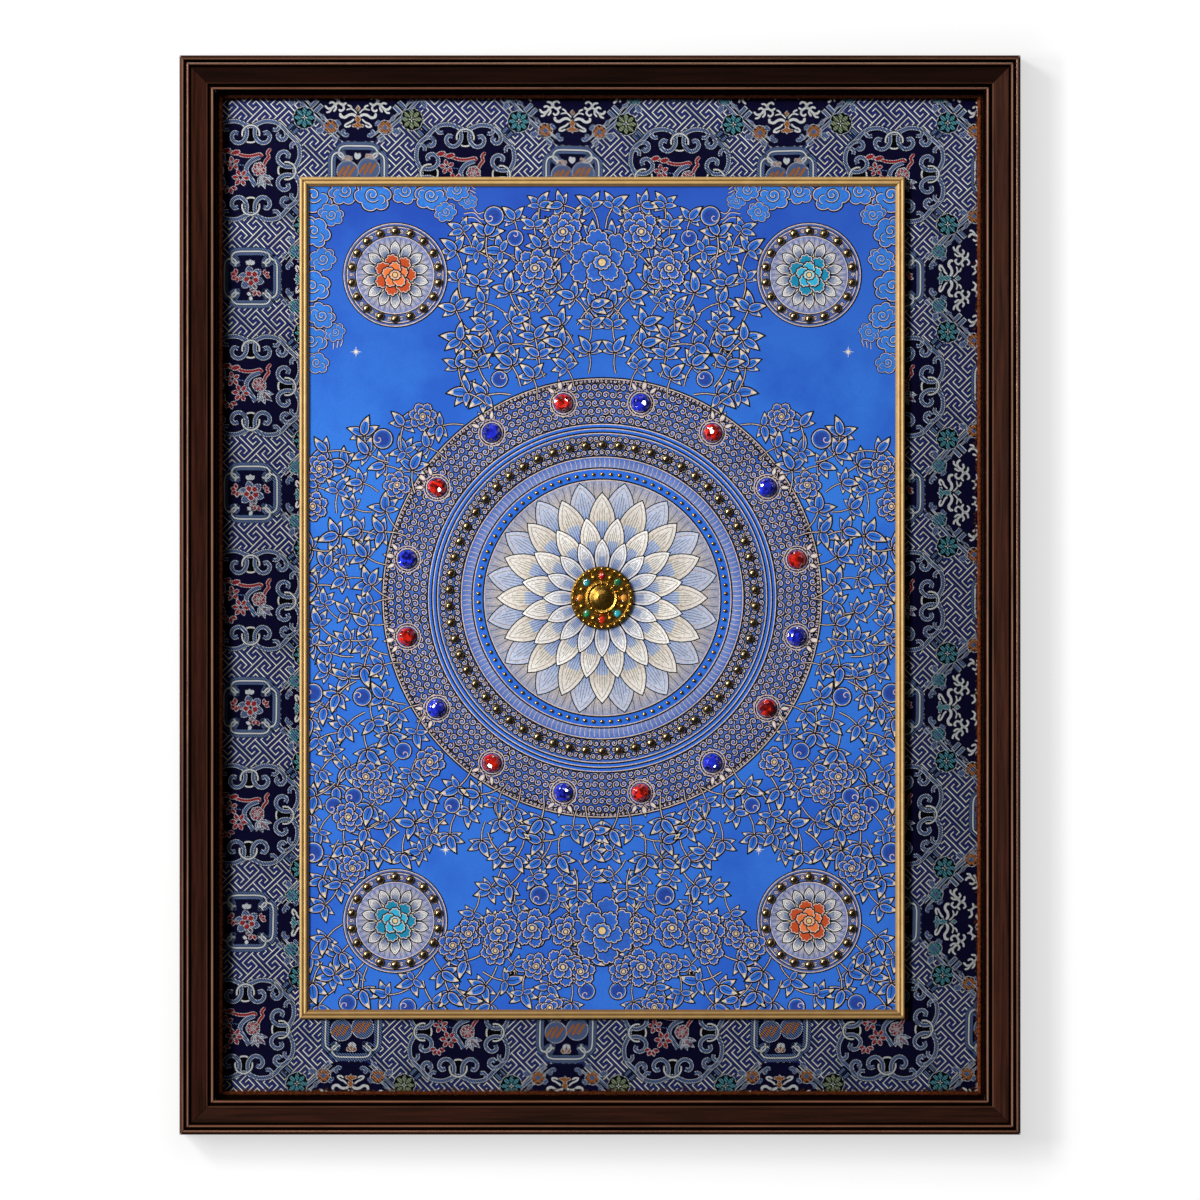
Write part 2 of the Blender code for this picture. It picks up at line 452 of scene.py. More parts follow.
@dataclass(frozen=True)
class StainedWood(Finish):
    """Near-black red-brown stain under clear lacquer: fine streaks, painted shade in the grooves, light
    beads.

    The lacquer mirrors lamps as thin warm lines along the beads. The grooves are painted black as painted
    shade, with less gloss; the crowns are painted light brown, partly wear and partly a painted highlight.
    The inner edge is bare, rough wood.
    """

    along: str
    middle: float
    outer: float
    bare: float
    light: str = "#3c1d14"
    dark: str = "#1f0c07"
    raw_light: str = "#6e341a"
    raw_dark: str = "#1c0c07"
    # Light brown of the crowns: partly wear, partly a painted highlight.
    wear_and_highlight: str = "#7a523e"

    def draw(self, tree: Tree, shader: Node, place: Socket) -> None:
        """Streaks and pores along the rail, then painted groove shade and crown highlights by distance from
        its outer edge.
        """
        level = self.along == "X"
        squeeze = (0.04, 1.0, 1.0) if level else (1.0, 1.0, 0.04)
        laid = add_node(tree, "ShaderNodeMapping", {0: place, 3: squeeze}).outputs[0]
        streak = noise(tree, laid, 3.2, 5.0, 0.65, 0.4)
        pores = noise(tree, laid, 0.8, 3.0, 0.7)
        body = mixed(tree, ranged(tree, streak, 0.38, 0.62), self.dark, self.light)
        pored = mixed(tree, ranged(tree, pores, 0.50, 0.66, 0.0, 0.5), body, "#140604")
        off = worked(tree, "SUBTRACT", axis(tree, place, 2 if level else 0), self.middle)
        away = worked(tree, "ABSOLUTE", off)
        inset_mm = worked(tree, "MULTIPLY", worked(tree, "SUBTRACT", self.outer, away), 1 / MM)
        # Painted shade: the grooves are painted dark, and their gloss is cut, by this ramp.
        groove_painted_shade = ramp(tree, inset_mm, GROOVE_PAINTED_SHADE, RAIL_WIDTH)
        front = ranged(tree, axis(tree, surface(tree, "Normal"), 1), -0.12, -0.02, 1.0, 0.0)
        patchy = ranged(tree, streak, 0.3, 0.6, 0.45, 1.0)
        # Painted highlight, partly wear: the bead crowns are painted light brown.
        crown = worked(tree, "MULTIPLY", ramp(tree, inset_mm, CROWN_WEAR_AND_HIGHLIGHT, RAIL_WIDTH), patchy)
        wear_and_highlight = mixed(tree, worked(tree, "MULTIPLY", crown, front), pored, self.wear_and_highlight)
        # Painted shade: the stain is multiplied darker in the grooves.
        stained = mixed(tree, front, wear_and_highlight, groove_painted_shade, "MULTIPLY")
        rough_edge = noise(tree, place, 1.9, 5.0, 0.7)
        ragged = ranged(tree, rough_edge, 0.3, 0.7, -0.7 * MM, 0.7 * MM)
        bent = worked(tree, "ADD", away, ragged)
        bared = ranged(tree, bent, self.bare - 0.3 * MM, self.bare + 0.3 * MM, 1.0, 0.0)
        raw = mixed(tree, ranged(tree, rough_edge, 0.4, 0.65), self.raw_light, self.raw_dark)
        polished = ranged(tree, pores, 0.3, 0.7, 0.12, 0.2)
        unpolished = ranged(tree, bared, 0.0, 1.0, 0.0, 0.85)
        lacquered = ranged(tree, bared, 0.0, 0.8, 1.0, 0.0)
        looks = {
            "Base Color": mixed(tree, bared, stained, raw),
            "Roughness": worked(tree, "MAXIMUM", polished, unpolished),
            "Specular IOR Level": worked(tree, "MULTIPLY", groove_painted_shade, lacquered),
            "Normal": bumped(tree, pores, 0.12, 0.04, sunk=True),
            "IOR": 1.6,
            "Specular Tint": opaque("#ffd6bc"),
        }
        feed(tree, shader, looks)


@dataclass(frozen=True)
class Gilding(Finish):
    """Satin gold leaf on gesso: warm, a little worn, with painted shade that browns the low part of its
    section.
    """

    light: str = "#c8a468"
    dark: str = "#9c7640"
    valley: float = 0.0089
    crown: float = 0.0097

    def draw(self, tree: Tree, shader: Node, place: Socket) -> None:
        """Rub the leaf with cloudy noise, paint shade into the low part of its section and give it a fine
        tooth.
        """
        rub = ranged(tree, noise(tree, place, 9.0, 5.0, 0.6), 0.35, 0.7, 0.0, 0.35)
        tooth = noise(tree, place, 0.7, 2.0)
        leaf = mixed(tree, rub, self.light, self.dark)
        # Painted shade: the low part of the section is painted browner.
        hollow = ranged(tree, axis(tree, place, 1), -self.crown, -self.valley, 0.0, 0.65)
        looks = {
            "Base Color": mixed(tree, hollow, leaf, dimmed(tree, leaf, "#8c6a48")),
            "Roughness": ranged(tree, tooth, 0.3, 0.7, 0.44, 0.6),
            "Normal": bumped(tree, tooth, 0.15, 0.08),
            "Metallic": 0.35,
        }
        feed(tree, shader, looks)


@dataclass(frozen=True)
class CastMetal(Finish):
    """Pressed and polished yellow metal, clouded with darker tarnish."""

    light: str
    dark: str
    roughness: float = 0.24

    def draw(self, tree: Tree, shader: Node, place: Socket) -> None:
        """Cloud the polish with tarnish and pit it a little."""
        tarnish = ranged(tree, noise(tree, place, 2.6, 4.0, 0.6), 0.4, 0.7, 0.0, 0.7)
        pits = noise(tree, place, 0.5, 2.0)
        looks = {
            "Base Color": mixed(tree, tarnish, self.light, self.dark),
            "Roughness": ranged(tree, pits, 0.3, 0.7, self.roughness - 0.06, self.roughness + 0.12),
            "Normal": bumped(tree, pits, 0.12, 0.05),
            "Metallic": 1.0,
        }
        feed(tree, shader, looks)


@dataclass(frozen=True)
class CutGlass(Finish):
    """Foil-backed cut glass: deep colour, with bright and dark patches painted in as painted glints and shade
    of its facets.
    """

    bright: str
    deep: str
    tilt: float = 0.9

    def draw(self, tree: Tree, shader: Node, place: Socket) -> None:
        """Small cells of bright and deep colour, painted glints and shade, under a clear polished skin."""
        facets = {0: place, 2: spot_scale(2.4)}
        cells = add_node(tree, "ShaderNodeTexVoronoi", facets, feature="F1").outputs[1]
        glint = add_node(tree, "ShaderNodeSeparateColor", {0: cells}).outputs[0]
        spread = vector(tree, "SUBTRACT", cells, (0.5, 0.5, 0.5))
        tilt = add_node(tree, "ShaderNodeVectorMath", {0: spread, 3: self.tilt}, operation="SCALE").outputs[0]
        facet = vector(tree, "NORMALIZE", vector(tree, "ADD", surface(tree, "Normal"), tilt))
        looks = {
            # Painted glints and shade: each facet cell is painted bright or deep.
            "Base Color": mixed(tree, ranged(tree, glint, 0.25, 1.0), self.deep, self.bright),
            "Roughness": ranged(tree, glint, 0.0, 1.0, 0.03, 0.10),
            "Normal": facet,
            "Coat Normal": facet,
            "IOR": 1.56,
            "Coat Weight": 1.0,
            "Coat Roughness": 0.02,
            "Specular IOR Level": 0.8,
        }
        feed(tree, shader, looks)


@dataclass(frozen=True)
class FibreBoard(Finish):
    """Pressed brown fibre board: matt, mottled, with short pale fibres."""

    light: str = "#8f7150"
    dark: str = "#6b4f34"

    def draw(self, tree: Tree, shader: Node, place: Socket) -> None:
        """Mottle the board and scatter its fibres."""
        mottle = ranged(tree, noise(tree, place, 18.0, 6.0, 0.7), 0.35, 0.65)
        fibre = noise(tree, place, 1.4, 4.0, 0.7, 1.5)
        board = mixed(tree, mottle, self.dark, self.light)
        looks = {
            "Base Color": mixed(tree, ranged(tree, fibre, 0.55, 0.72, 0.0, 0.5), board, "#a98d68"),
            "Roughness": ranged(tree, fibre, 0.3, 0.7, 0.75, 0.95),
            "Normal": bumped(tree, fibre, 0.4, 0.2),
        }
        feed(tree, shader, looks)


# ---------------------------------------------------------------- layers


# Light that the smooth pale threads send back: more than the coloured ones do.
PALE = "#a8a8a8"


@dataclass(frozen=True)
class Sort:
    """What a layer is made of: its finish and the record's slot."""

    finish: Finish
    slot: str


class Layer(Enum):
    """The threads and paints of the two cloths. Each becomes one piece."""

    FRET_SHADE = Sort(Thread("fret_shade_thread", "#02020a", "#050610", 0.5), "brocade")
    FRET_CREAM = Sort(Thread("fret_cream_thread", "#d4d2cc", "#fffdf6", 0.9, returned=PALE), "brocade")
    NAVY = Sort(Thread("navy_satin", "#0b0830", "#120e46", 0.5), "brocade")
    TWILL_EDGE = Sort(Thread("pale_edging_thread", "#7c8698", "#fafcfe", 0.95, 1.2, returned=PALE), "brocade")
    TWILL = Sort(Thread("pale_blue_twill", "#0c1846", "#8eb0ee", 0.95, 1.3), "brocade")
    WHITE = Sort(Thread("white_thread", "#b4babc", "#fffffa", 0.95, 1.2, returned=PALE), "brocade")
    RED = Sort(Thread("red_thread", "#8a1420", "#ec4c46", 0.9), "brocade")
    ORANGE = Sort(Thread("orange_thread", "#84401a", "#fcac5a", 0.9), "brocade")
    TEAL = Sort(Thread("teal_thread", "#1a5c78", "#7ed4de", 0.9), "brocade")
    GREEN = Sort(Thread("pale_green_thread", "#58684e", "#c6d6aa", 0.9), "brocade")
    FRAY = Sort(Thread("frayed_thread", "#38190c", "#a86a3c", 0.7, 0.9), "brocade")
    INK = Sort(Paint("ink_line", "#05060f", 0.2, 0.7), "picture_cloth")
    CREAM = Sort(Paint("cream_line", "#dcc6ba", 0.4, 0.6), "picture_cloth")
    BLUES = Sort(Paint("blue_paints", "", 0.25), "picture_cloth")
    SANDS = Sort(Paint("white_and_sand_paints", "", 0.3), "picture_cloth")
    ACCENTS = Sort(Paint("bright_paints", "", 0.2), "picture_cloth")


# ---------------------------------------------------------------- lines and shapes in a plane


def circle(radius: float, steps: int, centre: Point = (0.0, 0.0)) -> np.ndarray:
    """Points of a circle, anticlockwise.

    Args:
        radius: its radius.
        steps: how many points.
        centre: its middle.

    Returns:
        An array of points.
    """
    turns = np.arange(steps) * FULL_TURN / steps
    return np.stack([centre[0] + radius * np.cos(turns), centre[1] + radius * np.sin(turns)], 1)


def spiral(centre: Point, start: float, end: float, first: float, sweep: float, steps: int) -> np.ndarray:
    """Points of a spiral or, with equal radii, of an arc.

    Args:
        centre: the spiral's eye.
        start: radius at the first point.
        end: radius at the last point.
        first: angle of the first point, in degrees.
        sweep: degrees turned, anticlockwise if positive.
        steps: how many stretches.

    Returns:
        An array of points.
    """
    share = np.linspace(0, 1, steps + 1)
    turns = np.radians(first + sweep * share)
    radii = start + (end - start) * share
    return np.stack([centre[0] + radii * np.cos(turns), centre[1] + radii * np.sin(turns)], 1)


def lobed(
    radius: float, lobes: int, depth: float, steps: int, squash: float = 1.0, turn: float = 0.0
) -> np.ndarray:
    """Points of a scalloped round.

    Args:
        radius: outer radius.
        lobes: how many scallops.
        depth: how far the notches reach in, as a share of the radius.
        steps: points on each scallop.
        squash: height over width.
        turn: degrees by which the first notch is turned.

    Returns:
        An array of points, anticlockwise.
    """
    turns = np.arange(lobes * steps) * FULL_TURN / (lobes * steps)
    radii = radius * (1 - depth + depth * np.abs(np.sin(turns * lobes / 2)) ** 0.7)
    placed = turns + math.radians(turn)
    return np.stack([radii * np.cos(placed), squash * radii * np.sin(placed)], 1)


def smooth(points: Path, steps: int = 5, closed: bool = False) -> np.ndarray:
    """A smooth line through a few points.

    Args:
        points: the points that it passes.
        steps: stretches between two of them.
        closed: whether it runs back to its start.

    Returns:
        An array of points.
    """
    marks = np.array(points, float)
    if closed:
        marks = np.concatenate([marks[-1:], marks, marks[:2]])
    else:
        marks = np.concatenate([2 * marks[:1] - marks[1:2], marks, 2 * marks[-1:] - marks[-2:-1]])
    line = []
    for a, b, c, d in zip(marks, marks[1:], marks[2:], marks[3:]):
        for t in np.arange(steps) / steps:
            square, cube = 2 * a - 5 * b + 4 * c - d, 3 * b - a - 3 * c + d
            line.append(0.5 * (2 * b + (c - a) * t + square * t**2 + cube * t**3))
    if not closed:
        line.append(marks[-2])
    return np.array(line)


def moved(
    points: np.ndarray, offset: Point = (0.0, 0.0), turn: float = 0.0, flip: bool = False
) -> np.ndarray:
    """Points mirrored left to right, turned and then shifted.

    Args:
        points: an array of points.
        offset: the shift, made last.
        turn: degrees, anticlockwise.
        flip: whether to mirror them first.

    Returns:
        The moved points, in reverse order if mirrored, so that outlines stay anticlockwise.
    """
    shape = np.array(points, float)
    if flip:
        shape = (shape * (-1, 1))[::-1]
    angle = math.radians(turn)
    c, s = math.cos(angle), math.sin(angle)
    return shape @ np.array([[c, s], [-s, c]]) + offset


def shifted(line: np.ndarray, distance: float | np.ndarray, closed: bool) -> np.ndarray:
    """A line moved sideways, to its left if distance is positive, with mitred corners.

    Args:
        line: an array of points.
        distance: how far, one value or one for each point.
        closed: whether it is a loop.

    Returns:
        The moved line.
    """
    if closed:
        before, after = np.roll(line, 1, 0), np.roll(line, -1, 0)
    else:
        before = np.concatenate([2 * line[:1] - line[1:2], line[:-1]])
        after = np.concatenate([line[1:], 2 * line[-1:] - line[-2:-1]])
    ahead, behind = after - line, line - before
    ahead = ahead / np.maximum(np.linalg.norm(ahead, axis=1, keepdims=True), 1e-9)
    behind = behind / np.maximum(np.linalg.norm(behind, axis=1, keepdims=True), 1e-9)
    way = ahead + behind
    length = np.linalg.norm(way, axis=1, keepdims=True)
    way = np.where(length > 1e-6, way / np.maximum(length, 1e-9), ahead)
    stretch = 1 / np.clip(np.sum(way * ahead, 1, keepdims=True), 0.5, 1)
    side = np.stack([-way[:, 1], way[:, 0]], 1)
    return line + side * distance * stretch


# The tint of threads and lines, whose hue is their finish's own.
PLAIN = "#ffffff"


class Motif:
    """A small drawing: faces of several layers about one origin, to be repeated on a cloth."""

    def __init__(self) -> None:
        """Start with nothing drawn."""
        self.parts: dict[Layer, tuple[list, list, list]] = {}

    def add(self, layer: Layer, points: np.ndarray, height: object, faces: list, tints: object) -> None:
        """Add faces to one layer.

        Args:
            layer: the thread or paint.
            points: an array of points across and up.
            height: one height or one for each point.
            faces: corner numbers of each face, anticlockwise.
            tints: a hex code or one linear colour for each point.
        """
        vertices, polygons, colours = self.parts.setdefault(layer, ([], [], []))
        first = len(vertices)
        heights = np.broadcast_to(height, len(points))
        if isinstance(tints, str):
            tints = [linear(tints)] * len(points)
        vertices.extend((x, z, h) for (x, z), h in zip(points, heights))
        polygons.extend(tuple(first + corner for corner in face) for face in faces)
        colours.extend(tints)

    def strip(
        self,
        layer: Layer,
        left: np.ndarray,
        right: np.ndarray,
        height: float,
        tints: object = PLAIN,
        closed: bool = False,
    ) -> None:
        """Fill between two lines that run side by side.

        Args:
            layer: the thread or paint.
            left: the line on the left of the way they run.
            right: the line on its right.
            height: height above the cloth.
            tints: one hex code, or a pair for start and end.
            closed: whether the strip is a loop.
        """
        count = len(left)
        points = np.concatenate([left, right])
        if isinstance(tints, tuple):
            start, end = np.array(linear(tints[0])), np.array(linear(tints[1]))
            fade = [start + (end - start) * i / (count - 1) for i in range(count)]
            tints = fade + fade
        steps = range(count if closed else count - 1)
        faces = [(count + i, count + (i + 1) % count, (i + 1) % count, i) for i in steps]
        self.add(layer, points, height, faces, tints)

    def band(
        self, layer: Layer, line: np.ndarray, inner: float, outer: float, height: float, closed: bool = False
    ) -> None:
        """Draw a band along a line, between two distances to its right and its left.

        Args:
            layer: the thread or paint.
            line: an array of points.
            inner: distance of the right edge, negative to the right.
            outer: distance of the left edge.
            height: height above the cloth.
            closed: whether the line is a loop.
        """
        self.strip(layer, shifted(line, outer, closed), shifted(line, inner, closed), height, closed=closed)

    def fill(self, layer: Layer, outline: np.ndarray, height: float, tint: str = PLAIN) -> None:
        """Fill an outline with one face.

        Args:
            layer: the thread or paint.
            outline: its points, anticlockwise.
            height: height above the cloth.
            tint: its hex code.
        """
        self.add(layer, outline, height, [tuple(range(len(outline)))], tint)

    def glow(
        self, layer: Layer, outline: np.ndarray, height: float, rim: str, core: str, inset: float = 0.5
    ) -> None:
        """Fill an outline with one hue at its rim that fades to another within.

        Args:
            layer: the paint.
            outline: its points, anticlockwise.
            height: height above the cloth.
            rim: hex code at the outline.
            core: hex code inside.
            inset: size of the inner outline as a share of the outer.
        """
        middle = outline.mean(0)
        inner = middle + (outline - middle) * inset
        count = len(outline)
        points = np.concatenate([outline, inner])
        faces = [(i, (i + 1) % count, count + (i + 1) % count, count + i) for i in range(count)]
        faces.append(tuple(range(count, 2 * count)))
        self.add(layer, points, height, faces, [linear(rim)] * count + [linear(core)] * count)

    def lined(self, outline: np.ndarray, height: float, ink: float = 1.0, cream: float = 0.5) -> None:
        """Draw the double line of the painting: ink outside an outline, cream inside it.

        Args:
            outline: its points, anticlockwise.
            height: height above the cloth.
            ink: width of the dark line.
            cream: width of the pale line.
        """
        self.band(Layer.INK, outline, -ink, 0.0, height, True)
        self.band(Layer.CREAM, outline, 0.0, cream, height, True)

    def stroke(self, line: np.ndarray, height: float, ink: float = 0.9, cream: float = 0.5) -> None:
        """Draw an open double line, ink on its right and cream on its left.

        Args:
            line: an array of points.
            height: height above the cloth.
            ink: width of the dark line.
            cream: width of the pale line.
        """
        self.band(Layer.INK, line, -ink, 0.0, height)
        self.band(Layer.CREAM, line, 0.0, cream, height)

    def brush(self, layer: Layer, line: np.ndarray, wide: float, height: float) -> None:
        """Draw a stroke with round ends.

        Args:
            layer: the thread or paint.
            line: an array of points.
            wide: its width.
            height: height above the cloth.
        """
        run = np.concatenate([[0], np.cumsum(np.linalg.norm(np.diff(line, axis=0), axis=1))])
        near = np.clip(np.minimum(run, run[-1] - run) / (wide / 2), 0, 1)
        half = wide / 2 * np.sqrt(np.clip(1 - (1 - near) ** 2, 0.12, 1))[:, None]
        self.strip(layer, shifted(line, half, False), shifted(line, -half, False), height)


@dataclass(frozen=True)
class Spot:
    """Where a motif is repeated: place, turn in degrees, size, mirrored or not, extra height."""

    across: float
    up: float
    turn: float = 0.0
    size: float = 1.0
    flip: bool = False
    lift: float = 0.0


# ---------------------------------------------------------------- repeating with Geometry Nodes


def scatter_tree() -> Tree:
    """The tree that repeats one shape on points that carry their own turn and size.

    Returns:
        The tree, built on first use. Its inputs are the points, the shape and the finish.
    """
    name = "repeat_on_spots"
    found = bpy.data.node_groups.get(name)
    if found:
        return found
    tree = bpy.data.node_groups.new(name, "GeometryNodeTree")
    face = tree.interface
    face.new_socket("Spots", in_out="INPUT", socket_type="NodeSocketGeometry")
    face.new_socket("Shape", in_out="INPUT", socket_type="NodeSocketObject")
    face.new_socket("Finish", in_out="INPUT", socket_type="NodeSocketMaterial")
    face.new_socket("Whole size", in_out="INPUT", socket_type="NodeSocketFloat").default_value = 1.0
    face.new_socket("Repeats", in_out="OUTPUT", socket_type="NodeSocketGeometry")
    source = add_node(tree, "NodeGroupInput")
    shape = add_node(tree, "GeometryNodeObjectInfo", {"Object": source.outputs["Shape"]})
    turn = add_node(tree, "GeometryNodeInputNamedAttribute", {"Name": "turn"}, data_type="FLOAT_VECTOR")
    size = add_node(tree, "GeometryNodeInputNamedAttribute", {"Name": "size"}, data_type="FLOAT_VECTOR")
    turned = add_node(tree, "FunctionNodeEulerToRotation", {0: turn.outputs[0]})
    sizes = {0: size.outputs[0], "Scale": source.outputs["Whole size"]}
    copies = {
        "Points": source.outputs["Spots"],
        "Instance": shape.outputs["Geometry"],
        "Rotation": turned.outputs[0],
        "Scale": add_node(tree, "ShaderNodeVectorMath", sizes, operation="SCALE").outputs[0],
    }
    repeated = add_node(tree, "GeometryNodeInstanceOnPoints", copies)
    real = add_node(tree, "GeometryNodeRealizeInstances", {0: repeated.outputs[0]})
    worn = {0: real.outputs[0], "Material": source.outputs["Finish"]}
    dressed = add_node(tree, "GeometryNodeSetMaterial", worn)
    add_node(tree, "NodeGroupOutput", {0: dressed.outputs[0]})
    return tree


def tint(mesh: Mesh, tints: np.ndarray) -> None:
    """Give each point of a mesh its own opaque colour."""
    held = mesh.attributes.new(TINT, "FLOAT_COLOR", "POINT")
    held.data.foreach_set("color", tints.ravel())


def repeated_mesh(
    shape: Mesh, spots: np.ndarray, turns: np.ndarray, sizes: np.ndarray, finish: Finish
) -> Mesh:
    """Repeat a mesh on spots and return the plain result.

    Args:
        shape: the mesh to repeat, about its origin.
        spots: places in metres.
        turns: each copy's angles about the axes, in radians.
        sizes: each copy's scales along the axes.
        finish: what it wears.

    Returns:
        One mesh with all the repeats.
    """
    scene = bpy.context.scene.collection
    pattern = bpy.data.objects.new("pattern", shape)
    cloud = bpy.data.meshes.new("spots")
    cloud.from_pydata([tuple(p) for p in spots], [], [])
    for name, values in (("turn", turns), ("size", sizes)):
        held = cloud.attributes.new(name, "FLOAT_VECTOR", "POINT")
        held.data.foreach_set("vector", np.asarray(values, np.float32).ravel())
    carrier = bpy.data.objects.new("carrier", cloud)
    scene.objects.link(pattern)
    scene.objects.link(carrier)
    tree = scatter_tree()
    modifier = carrier.modifiers.new("repeat", "NODES")
    modifier.node_group = tree
    sockets = {item.name: item.identifier for item in tree.interface.items_tree if item.in_out == "INPUT"}
    modifier[sockets["Shape"]] = pattern
    modifier[sockets["Finish"]] = finish.material()
    modifier[sockets["Whole size"]] = 1.0
    graph = bpy.context.evaluated_depsgraph_get()
    result = bpy.data.meshes.new_from_object(carrier.evaluated_get(graph))
    bpy.data.objects.remove(carrier)
    bpy.data.objects.remove(pattern)
    bpy.data.meshes.remove(cloud)
    return result


@dataclass
class Flat:
    """Plain arrays of a mesh: points in metres, face corners, face sizes and point colours."""

    points: np.ndarray
    corners: np.ndarray
    sizes: np.ndarray
    tints: np.ndarray


def points_of(mesh: Mesh) -> np.ndarray:
    """The places of a mesh's points, in metres."""
    points = np.zeros(len(mesh.vertices) * 3, np.float32)
    mesh.vertices.foreach_get("co", points)
    return points.reshape(-1, 3)


def corners_of(mesh: Mesh) -> np.ndarray:
    """The point that stands at each corner of a mesh's faces."""
    corners = np.zeros(len(mesh.loops), np.int32)
    mesh.loops.foreach_get("vertex_index", corners)
    return corners


def firsts(counts: list[int] | np.ndarray) -> np.ndarray:
    """Where each of several runs starts, when they follow each other."""
    return np.concatenate([[0], np.cumsum(counts)[:-1]]).astype(np.int32)


def read_flat(mesh: Mesh) -> Flat:
    """Read a flat mesh into arrays, with every face turned to the front.

    Args:
        mesh: a mesh whose faces lie in the cloth's plane.

    Returns:
        Its arrays.
    """
    corners = corners_of(mesh)
    sizes = np.zeros(len(mesh.polygons), np.int32)
    mesh.polygons.foreach_get("loop_total", sizes)
    normals = np.zeros(len(mesh.polygons) * 3, np.float32)
    mesh.polygons.foreach_get("normal", normals)
    starts = firsts(sizes)
    for face in np.nonzero(normals.reshape(-1, 3)[:, 1] > 0)[0]:
        piece = slice(starts[face], starts[face] + sizes[face])
        corners[piece] = corners[piece][::-1].copy()
    tints = np.ones(len(mesh.vertices) * 4, np.float32)
    if TINT in mesh.attributes:
        mesh.attributes[TINT].data.foreach_get("color", tints)
    return Flat(points_of(mesh), corners, sizes, tints.reshape(-1, 4))


def write_mesh(name: str, flats: list[Flat]) -> Mesh:
    """Join flat arrays into one mesh.

    Args:
        name: the mesh's name.
        flats: the arrays.

    Returns:
        The new mesh.
    """
    shifts = firsts([len(f.points) for f in flats])
    points = np.concatenate([f.points for f in flats])
    corners = np.concatenate([f.corners + s for f, s in zip(flats, shifts)]).astype(np.int32)
    sizes = np.concatenate([f.sizes for f in flats])
    mesh = bpy.data.meshes.new(name)
    mesh.vertices.add(len(points))
    mesh.vertices.foreach_set("co", points.ravel())
    mesh.loops.add(len(corners))
    mesh.loops.foreach_set("vertex_index", corners)
    mesh.polygons.add(len(sizes))
    mesh.polygons.foreach_set("loop_start", firsts(sizes))
    tint(mesh, np.concatenate([f.tints for f in flats]))
    mesh.update(calc_edges=True)
    mesh.validate()
    return mesh


def front_map(mesh: Mesh, low: Vector, high: Vector) -> None:
    """Give a mesh a map seen from the front, as large as the cloth it lies on.

    Args:
        mesh: the mesh.
        low: the cloth's lowest corner.
        high: its highest corner.
    """
    layer = mesh.uv_layers.get(FRONT_MAP) or mesh.uv_layers.new(name=FRONT_MAP)
    placed = points_of(mesh)[corners_of(mesh)][:, [0, 2]]
    span = (high.x - low.x, high.z - low.z)
    layer.data.foreach_set("uv", ((placed - (low.x, low.z)) / span).astype(np.float32).ravel())


def add_piece(name: str, mesh: Mesh, finish: Finish) -> bpy.types.Object:
    """Make a finished piece that rides on the frame.

    Args:
        name: the piece's name.
        mesh: its mesh, in place.
        finish: what it wears.

    Returns:
        The new object.
    """
    mesh.materials.clear()
    mesh.materials.append(finish.material())
    item = bpy.data.objects.new(name, mesh)
    bpy.context.scene.collection.objects.link(item)
    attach(item, "root")
    count = sum(len(p.vertices) - 2 for p in mesh.polygons)
    LOG.info("%s: %d triangles", name, count)
    return item


@dataclass
class Drawing:
    """A cloth's drawing: motifs are placed on it, then each layer is made one piece."""

    name: str
    middle: Point
    face: float
    low: Vector
    high: Vector
    pulled: Callable[[np.ndarray], np.ndarray] | None = None
    flats: dict[Layer, list[Flat]] = field(default_factory=dict)

    def place(self, motif: Motif, spots: list[Spot]) -> None:
        """Repeat a motif on the cloth.

        Args:
            motif: what to repeat.
            spots: where.
        """
        if not spots:
            return
        places = [
            (self.middle[0] + s.across * MM, -(self.face + s.lift * MM), self.middle[1] + s.up * MM)
            for s in spots
        ]
        turns = [(0.0, -math.radians(s.turn), 0.0) for s in spots]
        sizes = [(-s.size if s.flip else s.size, 1.0, s.size) for s in spots]
        for layer, (vertices, polygons, colours) in motif.parts.items():
            shape = bpy.data.meshes.new("motif")
            shape.from_pydata([(x * MM, -h * MM, z * MM) for x, z, h in vertices], [], polygons)
            tints = np.ones((len(colours), 4), np.float32)
            tints[:, :3] = colours
            tint(shape, tints)
            made = repeated_mesh(shape, np.array(places), turns, sizes, layer.value.finish)
            flat = read_flat(made)
            if self.pulled:
                drawn = (flat.points[:, [0, 2]] - self.middle) / MM
                flat.points[:, [0, 2]] = self.pulled(drawn) * MM + self.middle
            self.flats.setdefault(layer, []).append(flat)
            bpy.data.meshes.remove(made)
            bpy.data.meshes.remove(shape)

    def finish(self) -> list[bpy.types.Object]:
        """Trim each layer to the cloth's edges and make it a piece.

        Returns:
            The new pieces.
        """
        made = []
        for layer, flats in self.flats.items():
            name = f"{self.name}_{layer.name.lower()}"
            mesh = write_mesh(name, flats)
            self.trim(mesh)
            front_map(mesh, self.low, self.high)
            made.append(add_piece(name, mesh, layer.value.finish))
        return made

    def trim(self, mesh: Mesh) -> None:
        """Cut a layer off at the cloth's edges.

        Args:
            mesh: the layer's mesh.
        """
        least, most = points_of(mesh).min(0), points_of(mesh).max(0)
        sides = (
            (self.low, (-1, 0, 0), least[0] < self.low.x),
            (self.high, (1, 0, 0), most[0] > self.high.x),
            (self.low, (0, 0, -1), least[2] < self.low.z),
            (self.high, (0, 0, 1), most[2] > self.high.z),
        )
        cuts = [(corner, outward) for corner, outward, past in sides if past]
        if not cuts:
            return
        form = bmesh.new()
        form.from_mesh(mesh)
        for corner, outward in cuts:
            whole = form.verts[:] + form.edges[:] + form.faces[:]
            bmesh.ops.bisect_plane(form, geom=whole, plane_co=corner, plane_no=outward, clear_outer=True)
        form.to_mesh(mesh)
        form.free()


# A stretched cloth is a grid of this spacing, and its face dips by up to this much.
CLOTH_CELL = 12.0 * MM
CLOTH_DIP = 0.04 * MM


